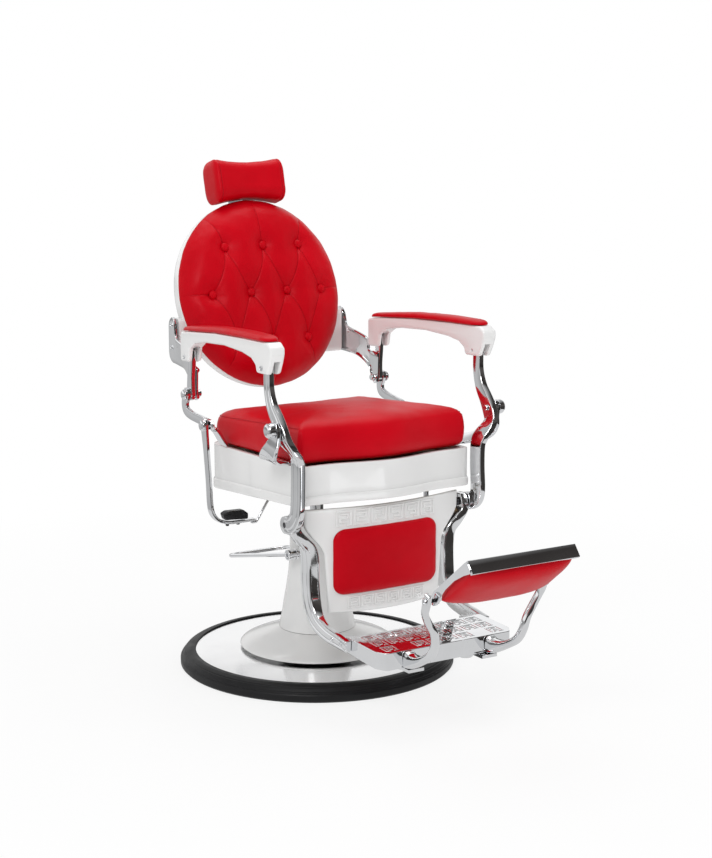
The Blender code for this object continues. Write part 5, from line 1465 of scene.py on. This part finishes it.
def build_foot_cushion():
    """Folding cushion: a chrome tray on two lugs with a padded face on its under side."""
    slope, length, half = radians(38.0), 0.158, 0.134
    along = Vector((0.0, -cos(slope), sin(slope)))
    out = Vector((0.0, -sin(slope), -cos(slope)))
    hinge = AXIS["foot_cushion_fold"]

    def at(x, s, t):
        point = hinge + along * s + out * t
        return Vector((x, point.y, point.z))

    def wall(name, outline, x_low, x_high):
        return loft(name, [[at(x, s, t) for s, t in outline] for x in (x_low, x_high)],
                    CHROME, "foot_cushion")

    floor = rounded([(0.0135, -0.014), (length - 0.002, -0.014), (length - 0.002, -0.004), (0.0135, -0.004)],
                    0.002, 3)
    tray = wall("chrome_tray", floor, -half, half)
    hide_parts("foot_tray")
    lip = rounded([(length - 0.006, -0.014), (length + 0.002, -0.014), (length + 0.002, 0.016),
                   (length - 0.006, 0.016)], 0.002, 3)
    parts = [wall("lip", lip, -half, half)]
    for side, sign in SIDES:
        x0, x1 = both(sign, half - 0.006, half + 0.0015)
        corners = [(-0.01, -0.009), (0.012, -0.014), (length, -0.0138), (length, 0.014), (0.132, 0.006),
                   (0.095, 0.0), (0.055, 0.001), (0.022, 0.008), (-0.004, 0.011), (-0.011, 0.002)]
        parts.append(wall("cheek_" + side, rounded(corners, 0.008, 6), x0, x1))
    carve(tray, parts, "UNION")
    bore(tray, hinge, 0.0045, -0.2, 0.2)
    eased(tray, 0.001, 3, 30.0)

    reach = half - 0.0068
    s0, s1 = 0.0125, length - 0.0068
    rings = []
    for x_share in [-1.0 + 2.0 * i / 80 for i in range(81)]:
        swell = max(1.0 - abs(x_share) ** 3.2, 0.0) ** 0.62
        t_top = 0.015 + 0.0205 * swell
        ring = [(s1 - (s1 - s0) * i / 20.0, -0.0034) for i in range(21)]
        for i in range(1, 40):
            angle = pi - i * pi / 40
            s = (s0 + s1) / 2.0 + (s1 - s0) / 2.0 * abs(cos(angle)) ** 0.55 * (1 if cos(angle) > 0 else -1)
            ring.append((s, -0.0034 + (t_top + 0.0034) * abs(sin(angle)) ** 0.62))
        rings.append([at(reach * x_share, s, t) for s, t in ring])
    pad = loft("foot_roll", rings, LEATHER, "foot_cushion", ["foot_pad"], sharp=80.0)
    ruffle(pad, 0.0006, 24.0, (1.0, 1.0, 1.0), (6.0, 0.0, 2.0))

    for side, sign in SIDES:
        profile = [(0.0, 0.124), (0.0085, 0.124), (0.0088, 0.1256), (0.0085, 0.127), (0.004, 0.1272),
                   (0.004, 0.1545), (0.0, 0.1545)]
        turned("hinge_knob_" + side, profile, PLASTIC, "legrest", ["foot_pin_" + side],
               along_x(hinge, sign), 40, 0.0004)
        place = along_x(hinge, sign, 0.1548)
        bolt_head("hinge_bolt_" + side, place, 0.0078, 0.0042, CHROME, "legrest")


build_base()
build_pump()
build_pump_lever()
build_seat_base()
build_seat_cushion()
build_seat_brackets()
build_recline_handle()
build_back_cushion()
build_back_shell()
build_back_brackets()
build_headrest()
build_front_links()
build_armrests()
build_calf_panel()
build_legrest()
build_footplate()
build_foot_cushion()


# ---- floor, light and camera ---------------------------------------------------------
def floor_material():
    """Pale studio floor that fades to plain white away from the chair."""
    settings = {"Roughness": 0.9, "Specular IOR Level": 0.0}
    material, tree, shader = start_material("studio_floor", settings)
    cloud = noise_value(tree, object_coordinates(tree), 1.5, 3.0)
    feed(tree, shader, colour=ramp(tree, cloud, [(0.3, (0.9, 0.9, 0.9)), (0.7, (0.93, 0.93, 0.93))]))
    away = add_node(tree, "VectorMath", {0: object_coordinates(tree)}, operation="LENGTH").outputs["Value"]
    share = remap(tree, away, 0.35, 1.8, 0.8, 1.0)
    mirrored = add_node(tree, "LightPath").outputs["Is Glossy Ray"]
    strength = remap(tree, mirrored, 0.0, 1.0, 1.0, 0.66)
    glow = add_node(tree, "Emission", {"Color": (1.0, 1.0, 1.0, 1.0), "Strength": strength}).outputs[0]
    mixed = add_node(tree, "MixShader", {0: share, 1: shader.outputs[0], 2: glow}).outputs[0]
    tree.links.new(mixed, tree.nodes["Material Output"].inputs["Surface"])
    return material


def build_floor():
    """Floor near the chair, and a wide surround that shiny surfaces don't see."""
    near, far, sides = 1.45, 40.0, 96
    material = floor_material()
    ring = [(cos(2.0 * pi * i / sides), sin(2.0 * pi * i / sides)) for i in range(sides)]
    inner = [(x * near, y * near, 0.0) for x, y in ring]
    outer = [(x * far, y * far, 0.0) for x, y in ring]
    surround = [(i, i + sides, (i + 1) % sides + sides, (i + 1) % sides) for i in range(sides)]
    meshes = (("studio_floor", inner, [tuple(range(sides))]), ("studio_surround", inner + outer, surround))
    for name, verts, faces in meshes:
        mesh = bpy.data.meshes.new(name)
        mesh.from_pydata(verts, [], faces)
        mesh.materials.append(material)
        floor = bpy.data.objects.new(name, mesh)
        floor.visible_glossy = name == "studio_floor"
        bpy.context.scene.collection.objects.link(floor)


def area_light(name, place, target, size, power, mirrored=True):
    """A soft lamp; mirrored says whether shiny surfaces show it."""
    light = bpy.data.lights.new(name, "AREA")
    light.shape = "RECTANGLE"
    light.size, light.size_y = size
    light.energy = power
    lamp = bpy.data.objects.new(name, light)
    lamp.location = place
    lamp.rotation_euler = (Vector(target) - Vector(place)).to_track_quat("-Z", "Y").to_euler()
    lamp.visible_glossy = mirrored
    bpy.context.scene.collection.objects.link(lamp)


def build_world():
    """Near-white room; what shines sees it shaded darker towards the horizon, as in a studio."""
    world = bpy.data.worlds.new("studio")
    world.use_nodes = True
    tree = world.node_tree
    tree.nodes.clear()
    source = add_node(tree, "TexCoord").outputs["Generated"]
    height = add_node(tree, "SeparateXYZ", {0: source}).outputs["Z"]
    ahead = add_node(tree, "VectorMath", {0: source, 1: (0.45, -0.89, 0.0)}, operation="DOT_PRODUCT")
    toward = remap(tree, ahead.outputs["Value"], -0.15, 0.4, 0.0, 1.0)
    level = arithmetic(tree, "ABSOLUTE", height, 0.0)
    near = remap(tree, level, 0.72, 0.92, 1.0, 0.0)
    shade = arithmetic(tree, "MULTIPLY", toward, near)
    share = remap(tree, height, -1.0, 1.0, 0.0, 1.0)
    stops = [(0.0, 0.28), (0.3, 0.36), (0.44, 0.56), (0.485, 0.3), (0.515, 0.3), (0.545, 0.95),
             (0.66, 1.0), (0.74, 0.6), (0.88, 0.42), (1.0, 0.55)]
    dark = ramp(tree, shade, [(0.0, (1.0, 1.0, 1.0)), (1.0, (0.085, 0.078, 0.074))])
    seen = multiply(tree, ramp(tree, share, stops), dark)
    plain = add_node(tree, "Background", {"Color": (1.0, 1.0, 1.0, 1.0), "Strength": 0.53})
    shiny = add_node(tree, "Background", {"Color": seen, "Strength": 1.0})
    sky = add_node(tree, "Background", {"Color": (1.0, 1.0, 1.0, 1.0), "Strength": 1.0})
    path = add_node(tree, "LightPath").outputs
    first = add_node(tree, "MixShader", {0: path["Is Glossy Ray"], 1: plain.outputs[0], 2: shiny.outputs[0]})
    last = add_node(tree, "MixShader", {0: path["Is Camera Ray"], 1: first.outputs[0], 2: sky.outputs[0]})
    add_node(tree, "OutputWorld", {"Surface": last.outputs[0]})
    bpy.context.scene.world = world


def build_camera():
    """Eye level, from the front and the sitter's right."""
    camera = bpy.data.cameras.new("view")
    camera.lens = 75.0
    camera.sensor_width = 36.0
    holder = bpy.data.objects.new("view", camera)
    holder.location = (-2.1159, -3.5942, 1.3201)
    holder.rotation_euler = (radians(79.764), 0.0, radians(-31.773))
    bpy.context.scene.collection.objects.link(holder)
    bpy.context.scene.camera = holder


build_floor()
area_light("key", (-2.6, -2.4, 3.0), (0.0, 0.0, 0.6), (1.6, 1.2), 48.0)
area_light("fill", (2.8, -2.0, 1.8), (0.0, 0.0, 0.5), (1.8, 2.4), 20.0, mirrored=False)
area_light("top", (0.2, 0.6, 3.4), (0.0, 0.0, 0.5), (2.6, 2.6), 40.0)
build_world()
build_camera()
bpy.context.scene.view_settings.view_transform = "Standard"
